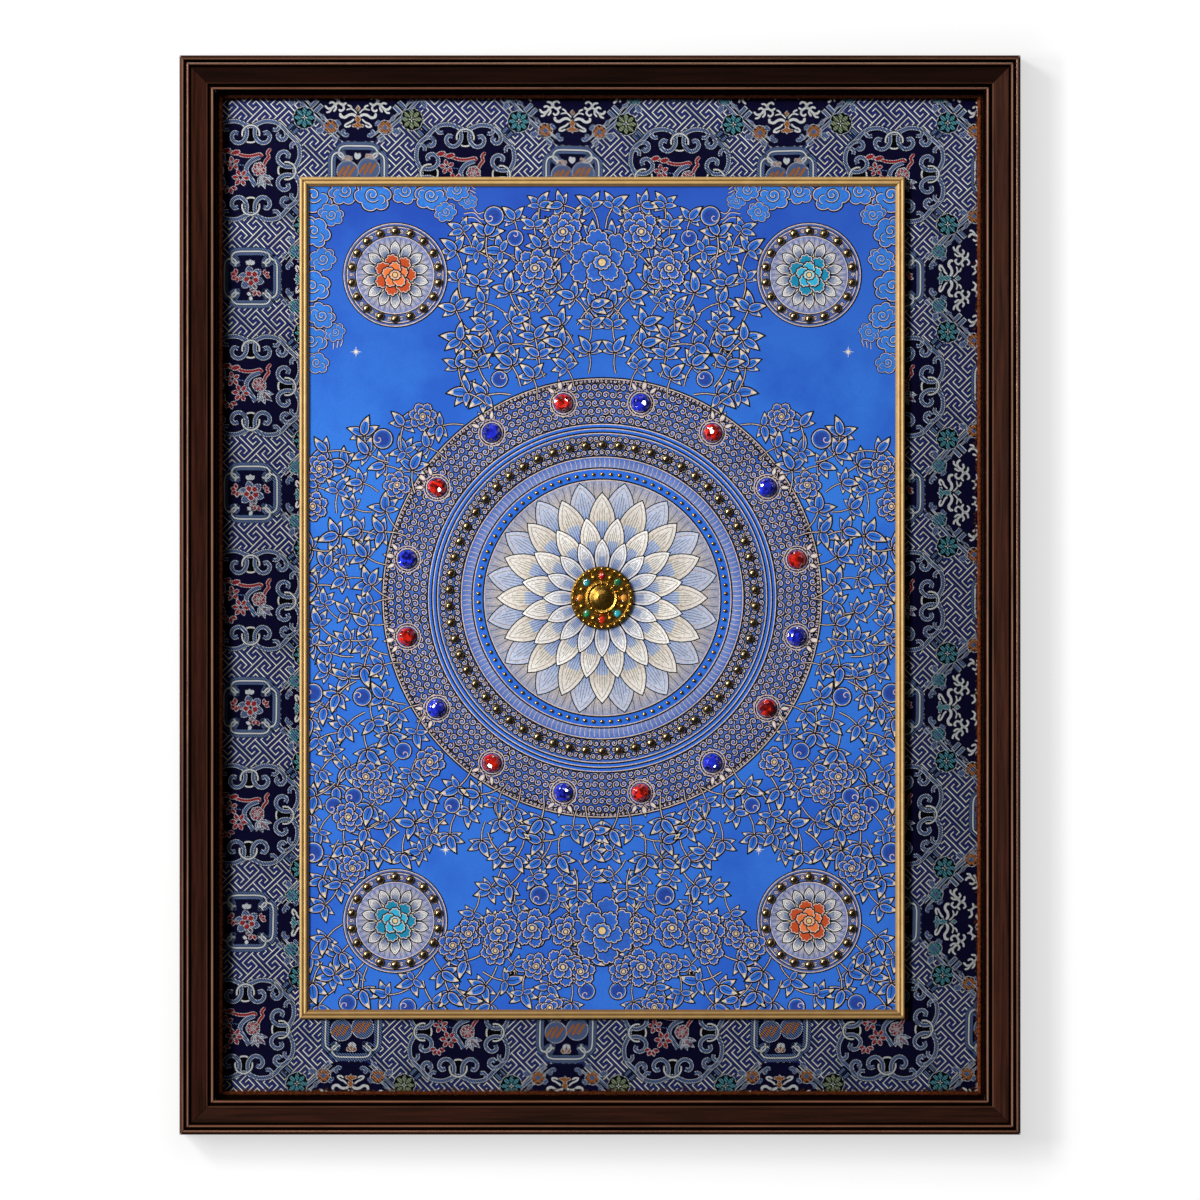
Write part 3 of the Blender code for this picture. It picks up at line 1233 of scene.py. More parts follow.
def middle_of(low: Vector, high: Vector) -> Point:
    """Middle of a box as seen from the front, in metres."""
    return ((low.x + high.x) / 2, (low.z + high.z) / 2)


def cloth_slab(name: str, low: Vector, high: Vector, finish: Finish) -> bpy.types.Object:
    """A stretched cloth as a thin closed slab whose face dips a little between its threads.

    Args:
        name: the piece's name.
        low: lowest corner of the CAD sheet.
        high: highest corner of the CAD sheet.
        finish: what it wears.

    Returns:
        The new object.
    """
    across = np.linspace(low.x, high.x, int((high.x - low.x) / CLOTH_CELL) + 1)
    upward = np.linspace(low.z, high.z, int((high.z - low.z) / CLOTH_CELL) + 1)
    form = bmesh.new()
    grid = []
    for z in upward:
        row = []
        for x in across:
            dip = 0.5 + 0.25 * math.sin(x * 47 + 1.3 * math.sin(z * 31)) + 0.25 * math.sin(z * 53 + 0.7)
            row.append(form.verts.new((x, low.y + CLOTH_DIP * dip, z)))
        grid.append(row)
    for below, above in zip(grid, grid[1:]):
        for i in range(len(across) - 1):
            form.faces.new((below[i], below[i + 1], above[i + 1], above[i]))
    rim = [e for e in form.edges if e.is_boundary]
    skirt = bmesh.ops.extrude_edge_only(form, edges=rim)["geom"]
    back = [v for v in skirt if isinstance(v, bmesh.types.BMVert)]
    for vertex in back:
        vertex.co.y = high.y
    bmesh.ops.holes_fill(form, edges=[e for e in form.edges if e.is_boundary], sides=0)
    bmesh.ops.recalc_face_normals(form, faces=form.faces)
    if form.calc_volume(signed=True) < 0:
        bmesh.ops.reverse_faces(form, faces=form.faces)
    mesh = bpy.data.meshes.new(name)
    form.to_mesh(mesh)
    form.free()
    front_map(mesh, low, high)
    return add_piece(name, mesh, finish)


# ---------------------------------------------------------------- frame, fillet and board


def dress(node: str, finish: Finish) -> None:
    """Give a CAD node its finish.

    Args:
        node: the node's name.
        finish: what it wears.
    """
    item = bpy.data.objects[node]
    item.data.materials.clear()
    item.data.materials.append(finish.material())


@dataclass
class WoodFrame:
    """The four moulded rails. Their grain runs along each rail; the top one is painted darkest and the bottom
    one darker than the sides, as painted shade.

    Dark glue fills the mitres and stops the light that would come through them.
    """

    bare_edge: float = 2.3
    glue_wide: float = 0.5
    glue_end: float = 0.6
    glue_back: float = 0.5
    glue_front: float = 8.0
    glue: Finish = Paint("mitre_glue", "#120805", 0.2, 0.6)

    def build(self) -> None:
        """Dress the rails; the last of each rail next to the cloth is bare. Then glue them."""
        low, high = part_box("frame_left")[0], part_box("frame_right")[1]
        inner_left, inner_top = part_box("frame_left")[1].x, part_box("frame_top")[0].z
        middle = (low + high) / 2
        half = (high - low) / 2
        bare = self.bare_edge * MM
        level = ("X", middle.z, half.z, inner_top - middle.z + bare)
        # Painted shade: the top rail and its bare edge are painted darkest, the bottom one darker than the
        # sides.
        top = StainedWood("stained_wood_top", *level, "#1a0906", "#0d0403", "#3a1c12", "#160a06")
        bottom = StainedWood("stained_wood_bottom", *level, "#2e140d", "#170905", "#4e2410", "#1c0d07")
        side_bare = middle.x - inner_left + bare
        # Painted highlight: the side rails' crowns are painted a lighter brown.
        upright = StainedWood("stained_wood_upright", "Z", middle.x, half.x, side_bare, wear_and_highlight="#8e6854")
        for side, finish in (("top", top), ("bottom", bottom), ("left", upright), ("right", upright)):
            dress(f"frame_{side}", finish)
        LOG.info("frame rails dressed")
        self.mitres(middle, half, (high.z - inner_top) / MM)

    def mitres(self, middle: Vector, half: Vector, rail: float) -> None:
        """Stand a thin slab of glue in each mitre.

        Args:
            middle: middle of the frame.
            half: half its width and height.
            rail: the rails' width, in millimetres.
        """
        form = bmesh.new()
        side = self.glue_wide / 2 * math.sqrt(0.5)
        start, end = self.glue_end, rail - self.glue_end
        for right in (-1, 1):
            for up in (-1, 1):
                ring = []
                for inset, shift in ((start, side), (end, side), (end, -side), (start, -side)):
                    across = middle.x + right * (half.x - (inset + shift) * MM)
                    ring.append((across, middle.z + up * (half.z - (inset - shift) * MM)))
                back = [form.verts.new((x, -self.glue_back * MM, z)) for x, z in ring]
                front = [form.verts.new((x, -self.glue_front * MM, z)) for x, z in ring]
                form.faces.new(back)
                form.faces.new(front)
                for i in range(4):
                    form.faces.new((back[i], back[(i + 1) % 4], front[(i + 1) % 4], front[i]))
        bmesh.ops.recalc_face_normals(form, faces=form.faces)
        mesh = bpy.data.meshes.new("mitre_glue")
        form.to_mesh(mesh)
        form.free()
        add_piece("mitre_glue", mesh, self.glue)


@dataclass
class GiltFillet:
    """The four gilt rails round the picture. The lowest, turned from the light, is painted browner as painted
    shade.
    """

    finish: Finish = Gilding("gilding")
    # Painted shade: the lowest rail's leaf is browner.
    lowest: Finish = Gilding("gilding_lowest", "#a4824e", "#7a5c32")

    def build(self) -> None:
        """Dress the fillet."""
        for side in ("top", "bottom", "left", "right"):
            dress(f"fillet_{side}", self.lowest if side == "bottom" else self.finish)
        LOG.info("fillet dressed")


@dataclass
class Backing:
    """The board that closes the back."""

    finish: FibreBoard = FibreBoard("fibre_board")

    def build(self) -> None:
        """Dress the board."""
        dress("backing_board", self.finish)
        LOG.info("backing board dressed")


# ---------------------------------------------------------------- brocade

QUARTERS = (0, 90, 180, 270)
BOTH = (False, True)


@dataclass
class Brocade:
    """The figured brocade: a diagonal key fret with cartouches, medallions and flowers.

    One repeat is a square of side repeat. A scroll cartouche stands at its corners, a
    medallion at its middle and a bar cartouche at the middle of each side. The cloth was
    pulled on by hand: its rows sag in the middle, bulge near the top, fall at the top right
    corner and drift to the left near the foot. The last eight fields are heights above the cloth.
    """

    repeat: float = 153.4
    first_across: float = -249.8
    first_up: float = 303.3
    hidden_width: float = 430.0
    hidden_height: float = 599.0
    key_unit: float = 3.013
    sag_top: float = 6.5
    sag_foot: float = 3.0
    sag_reach: float = 245.0
    drift: float = 4.3
    bulge: float = 3.7
    bulge_at: float = -90.0
    bulge_wide: float = 130.0
    corner_fall: float = 4.0
    corner_at: Point = (150.0, 270.0)
    corner_reach: Point = (90.0, 70.0)
    covered: float = 4.6
    seam_wide: float = 0.55
    rim_wide: float = 0.45
    fret: float = 0.04
    line: float = 0.07
    ground: float = 0.10
    edge: float = 0.13
    ribbon: float = 0.16
    rim: float = 0.19
    figure: float = 0.21
    top: float = 0.24

    def build(self) -> None:
        """Make the cloth, then weave every figure on it."""
        low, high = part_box("brocade_sheet")
        twill = Thread("royal_blue_twill", "#171e5e", "#4456b8", 0.85)
        cloth = cloth_slab("brocade_cloth", low, high, twill)
        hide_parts("brocade_sheet")
        middle = middle_of(low, high)
        self.half = ((high.x - low.x) / 2 / MM, (high.z - low.z) / 2 / MM)
        drawing = Drawing("brocade", middle, -low.y, low, high, self.pulled)
        half, quarter = self.repeat / 2, self.repeat / 4
        corners, middles = self.lattice(0, 0), self.lattice(half, half)
        beside, below = self.lattice(half, 0), self.lattice(0, half)
        drawing.place(self.key(), self.key_spots())
        drawing.place(self.medallion(), self.spots(middles, 60))
        drawing.place(self.scroll_cartouche(), self.spots(corners, 40))
        drawing.place(self.flower_branch(), self.spots(corners, 24))
        drawing.place(self.bar_cartouche(), self.spots(beside + below, 24))
        drawing.place(self.blossom(), self.spots(below, 20))
        drawing.place(self.fruits(), self.spots(beside, 20))
        for layer, turns in ((Layer.ORANGE, (0, 180)), (Layer.TEAL, (90, 270))):
            drawing.place(self.finial(layer), self.spots(middles, 60, turns))
        for layer, side in ((Layer.TEAL, 1), (Layer.GREEN, -1)):
            for rise in (1, -1):
                turn = math.degrees(math.atan2(rise, side)) - 90
                around = self.lattice(side * quarter, rise * quarter)
                drawing.place(self.small_flower(layer), self.spots(around, 22, (turn,)))
        drawing.finish()
        self.fray(low, high, middle)

    def fray(self, low: Vector, high: Vector, middle: Point) -> None:
        """Lay loose brown threads along the frame's lip, thickest at the right and the foot.

        Args:
            low: the cloth's lowest corner.
            high: its highest corner.
            middle: its middle.
        """
        chance = np.random.default_rng(11)
        across, up = self.half[0] - self.covered, self.half[1] - self.covered
        tuft = Motif()
        threads = (
            [(-0.3, -0.7), (0.3, 0.5), (-0.1, 1.6)],
            [(0.5, -0.6), (-0.2, 0.7), (0.6, 1.4)],
            [(-0.8, -0.2), (0.2, 0.1), (0.9, -0.1)],
        )
        for points in threads:
            tuft.brush(Layer.FRAY, smooth(points, 2), 0.34, 0.0)
        thick, thin = (1.5, 2.2), (3.6, 1.1)
        edges = ((across, up, *thick), (-across, up, *thin), (up, across, *thin), (-up, across, *thick))
        spots = []
        for edge, length, step, reach in edges:
            for run in np.arange(-length, length, step):
                inward = edge - math.copysign(reach * chance.random() ** 1.6, edge)
                along = run + chance.normal(0, 0.6)
                place = (inward, along) if abs(edge) == across else (along, inward)
                turn, size = 360 * chance.random(), 0.7 + 0.6 * chance.random()
                spots.append(Spot(*place, turn, size, lift=0.3 + 0.25 * chance.random()))
        drawing = Drawing("edge", middle, -low.y, low, high)
        drawing.place(tuft, spots)
        drawing.finish()

    def pulled(self, points: np.ndarray) -> np.ndarray:
        """Where the woven points lie once the cloth is pulled on.

        Args:
            points: across and up from the cloth's middle, as woven.

        Returns:
            The same points, sagged and drifted.
        """
        across, up = points[:, 0], points[:, 1]
        share = (up / self.first_up + 1) / 2
        sag = self.sag_foot + (self.sag_top - self.sag_foot) * share
        fallen = up - sag * np.clip(1 - (across / self.sag_reach) ** 2, 0, 1)
        near_top = np.clip(up / self.first_up, 0, 1) ** 3
        fallen += self.bulge * near_top * np.exp(-(((across - self.bulge_at) / self.bulge_wide) ** 2))
        in_corner = np.clip((points - self.corner_at) / self.corner_reach, 0, 1)
        fallen -= self.corner_fall * in_corner[:, 0] * in_corner[:, 1]
        drifted = across - self.drift * np.clip(-up / self.first_up, 0, 1.2) ** 1.6
        return np.stack([drifted, fallen], 1)

    def lattice(self, across: float, up: float) -> list[Point]:
        """Lattice points that may show, shifted within the repeat.

        Args:
            across: shift to the right.
            up: shift upwards.

        Returns:
            Points in millimetres from the cloth's middle.
        """
        return [
            (self.first_across + across + i * self.repeat, self.first_up + up - j * self.repeat)
            for i in range(-1, 5)
            for j in range(-1, 6)
        ]

    def shows(self, across: float, up: float, reach: float) -> bool:
        """Whether a figure of this reach shows between the frame and the fillet."""
        on_cloth = abs(across) < self.half[0] + reach and abs(up) < self.half[1] + reach
        hidden = abs(across) < self.hidden_width / 2 - reach and abs(up) < self.hidden_height / 2 - reach
        return on_cloth and not hidden

    def spots(self, points: list[Point], reach: float, turns: tuple[float, ...] = (0.0,)) -> list[Spot]:
        """Spots for those points where a figure of this reach shows."""
        return [Spot(x, z, turn) for x, z in points if self.shows(x, z, reach) for turn in turns]

    def key(self) -> Motif:
        """Two cells of the key fret, mirror images: pale lines on dark ones, hooked into each other.

        Returns:
            The motif.
        """
        motif = Motif()
        hook = [(0.1, 0.5), (-1.0, 0.5), (-1.0, -1.5), (5.0, -1.5), (5.0, 0.5), (3.9, 0.5)]
        other = [(4.0 + across, -up) for across, up in hook]
        for path in (hook, other, [(2.0, -1.33), (2.0, 5.33)]):
            line = np.array(path, float) * self.key_unit
            motif.band(Layer.FRET_SHADE, line, -0.8, 0.8, self.fret)
            motif.band(Layer.FRET_CREAM, line, -0.38, 0.38, self.line)
        return motif

    def key_spots(self) -> list[Spot]:
        """Spots of the key's cells, in rows at 45 degrees.

        Returns:
            Those that may show.
        """
        unit, found = self.key_unit, []
        rows, columns = 46, 30
        for row in range(-rows, rows + 1):
            for column in range(-columns, columns + 1):
                along, rise = (8 * column + 4 * (row % 2)) * unit, 4 * row * unit
                across, up = (along - rise) * math.sqrt(0.5), (along + rise) * math.sqrt(0.5)
                if self.shows(across, up, 5 * unit):
                    found.append(Spot(across, up, 45.0))
        return found

    def edged(
        self, motif: Motif, layer: Layer, outline: np.ndarray, height: float, wide: float = 0.4
    ) -> None:
        """Fill an outline with a thread and lay a pale thread round it.

        Args:
            motif: the drawing.
            layer: the thread inside.
            outline: its points, anticlockwise.
            height: height above the cloth.
            wide: width of the pale thread.
        """
        motif.fill(layer, outline, height)
        motif.band(Layer.TWILL_EDGE, outline, -wide, 0.05, height + 0.01, True)

    def ribbon_line(self, motif: Motif, line: np.ndarray, wide: float, closed: bool = False) -> None:
        """Lay a twill ribbon with pale edges on a dark seam.

        Args:
            motif: the drawing.
            line: its middle line.
            wide: its width.
            closed: whether it is a loop.
        """
        half, seam, rim = wide / 2, self.seam_wide, self.rim_wide
        motif.band(Layer.FRET_SHADE, line, -half - seam, half + seam, self.edge, closed)
        motif.band(Layer.TWILL, line, -half, half, self.ribbon, closed)
        motif.band(Layer.TWILL_EDGE, line, half - rim, half, self.rim, closed)
        motif.band(Layer.TWILL_EDGE, line, -half, -half + rim, self.rim, closed)

    def petals(
        self,
        motif: Motif,
        layer: Layer,
        centre: Point,
        count: int,
        reach: float,
        wide: float,
        turn: float = 0.0,
        spread: float = 360.0,
        height: float = 0.0,
        rim: float = 0.38,
    ) -> None:
        """Draw round-ended petals about a point.

        Args:
            motif: the drawing.
            layer: the petals' thread.
            centre: middle of the flower.
            count: how many petals.
            reach: their length.
            wide: their width.
            turn: degrees by which the first is turned.
            spread: degrees that they share.
            height: extra height.
            rim: width of the pale thread round each.
        """
        steps = np.linspace(0, 1, 7)
        half = wide / 2 * np.sin(np.pi * (0.04 + 0.96 * steps) ** 1.2) ** 0.85
        right = np.stack([half, reach * (0.24 + 0.76 * steps)], 1)
        left = right * (-1, 1)
        outline = np.concatenate([right[:-1], [[0, reach]], left[-2::-1]])
        for index in range(count):
            petal = moved(outline, centre, turn + spread * index / count)
            if rim:
                self.edged(motif, layer, petal, self.figure + height, rim)
            else:
                motif.fill(layer, petal, self.figure + height)

    def strokes(
        self,
        motif: Motif,
        layer: Layer,
        paths: tuple[tuple[float, Path], ...],
        height: float,
        turns: tuple[float, ...] = (0.0,),
        flips: tuple[bool, ...] = BOTH,
    ) -> None:
        """Draw round-ended strokes, each given by its width and its points, turned and mirrored.

        Args:
            motif: the drawing.
            layer: the thread.
            paths: pairs of a width and a list of points.
            height: height above the cloth.
            turns: degrees of each copy.
            flips: whether each copy is mirrored.
        """
        for wide, points in paths:
            line = smooth(points, 4)
            for turn in turns:
                for flip in flips:
                    motif.brush(layer, moved(line, turn=turn, flip=flip), wide, height)

    def rounded_square(self, half: float, power: float) -> np.ndarray:
        """A square whose sides bulge: the higher the power, the squarer."""
        turns = np.arange(96) * FULL_TURN / 96
        radii = half / (np.abs(np.cos(turns)) ** power + np.abs(np.sin(turns)) ** power) ** (1 / power)
        return np.stack([radii * np.cos(turns), radii * np.sin(turns)], 1)

    def scroll_cartouche(self) -> Motif:
        """The large cartouche: a bracketed twill border with curls, and a ring clasp on each side.

        Returns:
            The motif.
        """
        motif = Motif()
        eighth = [
            (0.0, 31.4), (4.6, 32.8), (9.4, 34.8), (14.2, 35.0), (18.8, 34.0), (22.6, 31.4), (25.2, 28.4),
        ]  # fmt: skip
        quarter = eighth + [(up, across) for across, up in reversed(eighth[1:])]
        sides = [moved(np.array(quarter), turn=turn) for turn in (0, -90, -180, -270)]
        border = smooth(np.concatenate(sides).tolist(), 3, True)[::-1]
        motif.fill(Layer.NAVY, border, self.ground)
        self.ribbon_line(motif, border, 3.0, True)
        strand = [
            (4.1, 32.0), (2.9, 27.9), (3.3, 23.8), (5.7, 20.4), (9.0, 19.3), (12.4, 20.9), (13.6, 24.3),
            (11.8, 27.0), (9.0, 26.2),
        ]  # fmt: skip
        corner_curl = [(24.8, 28.6), (25.6, 25.2), (23.6, 22.4), (20.6, 22.6), (19.4, 25.0), (21.0, 26.6)]
        small_curl = [(19.4, 33.6), (20.2, 31.0), (18.4, 29.0), (15.8, 29.2)]
        clasp, clasp_up = 6.2, 25.8
        for turn in QUARTERS:
            motif.fill(Layer.FRET_SHADE, moved(circle(6.8, 28, (0.0, clasp_up)), turn=turn), self.edge)
            for flip in BOTH:
                self.ribbon_line(motif, moved(smooth(strand, 6), turn=turn, flip=flip), 2.9)
                self.ribbon_line(motif, moved(smooth(small_curl, 5), turn=turn, flip=flip), 2.6)
            self.ribbon_line(motif, moved(smooth(corner_curl, 5), turn=turn), 3.0)
            for start, end in ((-106, 106), (152, 208)):
                bearings = np.radians(np.linspace(start, end, 24))
                ring = np.stack([clasp * np.sin(bearings), clasp_up + clasp * np.cos(bearings)], 1)
                ring = moved(ring, turn=turn)
                motif.band(Layer.FRET_SHADE, ring, -0.95, 0.95, self.figure)
                motif.band(Layer.WHITE, ring, -0.58, 0.58, self.top)
        return motif

    def flower_branch(self) -> Motif:
        """The branch in the large cartouche: a rose, three blossoms, a long bud and leaves.

        Returns:
            The motif.
        """
        motif = Motif()
        stem = smooth([(6.7, 9.3), (0.5, 6.4), (-2.9, 2.0), (-2.7, -2.0), (0.5, -6.7), (3.4, -11.6)], 6)
        self.ribbon_line(motif, stem, 3.2)
        motif.band(Layer.TWILL, smooth([(-2.4, 3.0), (-7.0, 3.6), (-11.0, 4.2)]), -0.35, 0.35, self.figure)
        long_bud = [
            (-19.5, 14.2), (-15.2, 13.0), (-11.6, 12.4), (-5.0, 10.2), (1.0, 10.0), (6.4, 11.2), (8.4, 9.4),
        ]  # fmt: skip
        climber = [(9.4, 3.6), (10.8, 6.8), (12.8, 9.4), (12.0, 12.4), (14.4, 15.6)]
        for points in (long_bud, climber):
            self.strokes(motif, Layer.TWILL_EDGE, ((2.5, points),), self.figure, flips=(False,))
            self.strokes(motif, Layer.RED, ((1.7, points),), self.top, flips=(False,))
        for centre, turn in (((-17.4, 13.9), -72), ((-10.8, 12.6), -76)):
            leaf = moved(circle(2.1, 12) * (0.75, 1.45), centre, turn)
            self.edged(motif, Layer.RED, leaf, self.top + 0.01)
        self.petals(motif, Layer.RED, (-13.2, 4.6), 5, 5.2, 2.5, 10)
        self.petals(motif, Layer.RED, (-7.2, -5.4), 6, 6.2, 2.6, 25)
        self.petals(motif, Layer.RED, (-15.2, -11.6), 4, 5.4, 2.4, 100, 200)
        rose, outer, leaf_root = (6.0, 0.4), 5.4, (7.2, -4.6)
        for radius, shade in ((outer, Layer.TWILL_EDGE), (4.7, Layer.NAVY)):
            bed = moved(lobed(radius, 7, 0.12, 4), rose)
            motif.fill(shade, bed, self.figure + (outer - radius) * 0.02)
        self.petals(motif, Layer.RED, rose, 7, 4.6, 2.3, 8, height=0.02)
        self.petals(motif, Layer.RED, rose, 4, 2.4, 1.8, 30, height=0.03)
        for turn, reach in ((-160, 8.4), (-128, 9.6), (-98, 8.6), (-192, 7.0)):
            low, high = reach * 0.3, reach * 0.7
            leaf = np.array([(0, 0), (1.5, low), (1.2, high), (0, reach), (-1.2, high), (-1.5, low)])
            self.edged(motif, Layer.TWILL, moved(leaf, leaf_root, turn), self.figure, 0.5)
            rib = moved(np.array([(0.0, reach * 0.2), (0.1, reach * 0.8)]), leaf_root, turn)
            motif.band(Layer.RED if turn == -128 else Layer.WHITE, rib, -0.35, 0.35, self.top)
        return motif

    def bar_cartouche(self) -> Motif:
        """The small cartouche: four double bars with hooked ends round a navy square.

        Returns:
            The motif.
        """
        motif = Motif()
        motif.fill(Layer.NAVY, self.rounded_square(19.6, 5.0), self.ground + 0.01)
        bar = [(-8.4, 11.2), (-11.2, 10.4), (-13.6, 12.4), (-13.2, 16.4), (-9.6, 18.6), (0.0, 18.8)]
        line = smooth(bar + [(-x, z) for x, z in reversed(bar[:-1])], 5)
        for turn in QUARTERS:
            placed = moved(line, turn=turn)
            motif.band(Layer.FRET_SHADE, placed, -3.1, 3.1, self.edge)
            for low, high in ((-2.75, -0.95), (0.95, 2.75)):
                motif.band(Layer.TWILL, placed, low, high, self.ribbon)
            motif.band(Layer.WHITE, placed, -0.55, 0.55, self.rim)
        return motif

    def blossom(self) -> Motif:
        """The blossom in a bar cartouche: red heart, pale blue petals, small side flowers.

        Returns:
            The motif.
        """
        motif = Motif()
        self.petals(motif, Layer.TWILL, (0.4, -0.6), 6, 9.0, 5.0, 14)
        self.petals(motif, Layer.RED, (0.4, -0.2), 5, 5.6, 3.9, 30, height=0.02)
        self.petals(motif, Layer.RED, (-9.6, 1.8), 5, 4.8, 2.4, 20, 260)
        self.petals(motif, Layer.RED, (4.4, -8.4), 4, 5.0, 2.2, 40, 220)
        self.petals(motif, Layer.WHITE, (-0.4, 8.6), 3, 4.2, 2.2, -40, 120)
        self.petals(motif, Layer.WHITE, (0.8, -12.6), 2, 3.6, 2.0, 60, 200)
        self.petals(motif, Layer.RED, (9.2, 1.6), 3, 4.4, 1.8, -100, 130)
        return motif

    def fruits(self) -> Motif:
        """Two striped fruits with leaves and a calyx in a bar cartouche.

        Returns:
            The motif.
        """
        motif = Motif()
        for centre, radius in (((-7.5, 0.3), 7.5), ((7.7, 2.6), 7.7)):
            self.edged(motif, Layer.TWILL, circle(radius, 22, centre), self.figure)
            for shift in (-4.2, -0.6, 3.2):
                end = -4.8 + abs(shift) * 0.3
                seam = smooth([(shift - 2.8, end), (shift - 0.4, 0.0), (shift + 2.2, -end)], 4)
                motif.brush(Layer.ORANGE, moved(seam, centre), 2.0, self.top)
        self.petals(motif, Layer.ORANGE, (-7.0, 7.2), 3, 4.4, 2.2, -34, 100)
        self.petals(motif, Layer.WHITE, (-0.6, 8.2), 2, 5.6, 2.2, -20, 60)
        self.petals(motif, Layer.ORANGE, (7.6, 9.4), 3, 4.0, 2.2, -60, 120)
        self.petals(motif, Layer.WHITE, (0.4, -7.4), 2, 4.6, 1.9, 150, 120)
        self.petals(motif, Layer.ORANGE, (0.0, -15.6), 3, 4.8, 2.6, -40, 120)
        return motif

    def medallion(self) -> Motif:
        """The navy medallion with double rims and white branching scrolls.

        Returns:
            The motif.
        """
        motif = Motif()
        corner = [(54.5, 12.0), (47.0, 20.0), (38.3, 31.5), (31.5, 38.3), (20.0, 47.0), (12.0, 54.5)]
        outline = [moved(np.array(corner, float), turn=turn) for turn in QUARTERS]
        motif.fill(Layer.NAVY, np.concatenate(outline), self.ground)
        for inset, wide in ((0.0, 2.5), (2.6, 1.5)):
            side = np.array([(14.0 - inset, 52.6 - inset), (32.0 - inset, 36.4 - inset)])
            for turn in QUARTERS:
                for flip in BOTH:
                    self.ribbon_line(motif, moved(side, turn=turn, flip=flip), wide)
        sprigs = (
            (1.6, [(8.2, 27.0), (11.0, 28.6), (13.6, 27.2), (16.2, 28.4), (18.6, 31.0), (21.6, 31.4),
                   (23.6, 29.2)]),
            (1.4, [(11.0, 28.6), (10.0, 31.2), (12.2, 33.0), (13.8, 31.6)]),
            (1.4, [(13.6, 27.2), (13.6, 24.4), (11.0, 23.0), (9.2, 24.6)]),
            (1.4, [(16.2, 28.4), (18.4, 26.8), (20.6, 27.8)]),
            (1.4, [(16.2, 28.4), (15.8, 31.2), (17.6, 33.6)]),
            (1.4, [(18.6, 31.0), (20.4, 33.6), (22.8, 34.2)]),
            (1.4, [(13.6, 27.2), (15.6, 24.2), (18.4, 23.8)]),
            (1.4, [(2.6, 20.6), (4.8, 18.2), (8.0, 19.0), (10.4, 17.0), (13.2, 18.2)]),
            (1.3, [(8.0, 19.0), (8.4, 21.4)]),
            (1.3, [(10.4, 17.0), (10.6, 14.4)]),
        )  # fmt: skip
        self.strokes(motif, Layer.WHITE, sprigs, self.figure, QUARTERS)
        clouds = (
            (2.0, [(6.6, 49.4), (9.0, 50.4), (11.0, 48.4), (9.4, 46.4)]),
            (2.0, [(23.4, 39.4), (25.4, 37.6), (24.8, 35.6)]),
            (2.0, [(12.0, 42.4), (14.6, 41.4), (14.0, 39.2)]),
        )
        rims = tuple((wide + 0.7, path) for wide, path in clouds)
        self.strokes(motif, Layer.TWILL_EDGE, rims, self.ribbon, QUARTERS)
        self.strokes(motif, Layer.TWILL, clouds, self.rim, QUARTERS)
        heart = (
            (1.4, [(1.6, 9.2), (4.2, 11.8), (6.8, 10.6), (8.0, 12.8)]),
            (1.4, [(1.2, 13.4), (3.4, 15.2), (6.0, 14.4)]),
        )
        self.strokes(motif, Layer.WHITE, heart, self.figure, QUARTERS)
        self.petals(motif, Layer.TWILL, (0.0, 0.0), 8, 7.4, 3.2)
        return motif

    def finial(self, layer: Layer) -> Motif:
        """A bright finial between white scrolls, and two wheel flowers beside it.

        Args:
            layer: the finial's thread.

        Returns:
            The motif.
        """
        motif = Motif()
        foot = [
            (0.0, 35.9), (1.3, 36.8), (2.2, 38.4), (1.5, 40.2), (1.0, 41.2), (2.2, 42.0), (4.0, 42.6),
            (4.1, 44.2), (2.6, 44.7), (1.3, 44.3), (0.0, 46.0),
        ]  # fmt: skip
        foot += [(-across, up) for across, up in reversed(foot[1:-1])]
        self.edged(motif, layer, np.array(foot)[::-1], self.top, 0.3)
        diamond = np.array([(0.0, 29.1), (1.5, 31.0), (0.0, 32.9), (-1.5, 31.0)])
        self.edged(motif, layer, diamond, self.top, 0.3)
        scrolls = (
            (1.9, [(1.4, 36.6), (3.9, 35.4), (6.7, 35.9), (9.4, 37.6), (12.2, 36.8), (12.6, 34.4)]),
            (1.0, [(0.8, 34.6), (3.0, 32.2), (5.4, 31.4), (8.4, 32.2)]),
            (1.2, [(4.4, 32.0), (5.2, 29.6), (7.6, 28.6)]),
            (1.3, [(2.9, 38.6), (4.6, 40.4), (8.4, 42.4), (9.2, 44.0), (7.0, 44.2), (5.0, 43.0)]),
        )
        self.strokes(motif, Layer.WHITE, scrolls, self.figure)
        for side in (1, -1):
            wheel = (19.4 * side, 44.4)
            motif.fill(Layer.NAVY, circle(5.9, 20, wheel), self.edge)
            rim = moved(lobed(5.3, 7, 0.08, 4), wheel)
            motif.band(Layer.TWILL_EDGE, rim, -0.25, 0.25, self.ribbon, True)
            self.petals(motif, layer, wheel, 7, 4.8, 2.5, rim=0.0)
            motif.fill(Layer.TWILL, circle(1.7, 12, wheel), self.top)
            for lean, reach in ((0, 8.0), (-90, 8.4)):
                puff = lobed(2.3, 5, 0.25, 4) * (0.9, 1.3) + (0.0, reach)
                self.edged(motif, Layer.TWILL, moved(puff, wheel, side * lean + side * 20), self.ribbon, 0.3)
        return motif

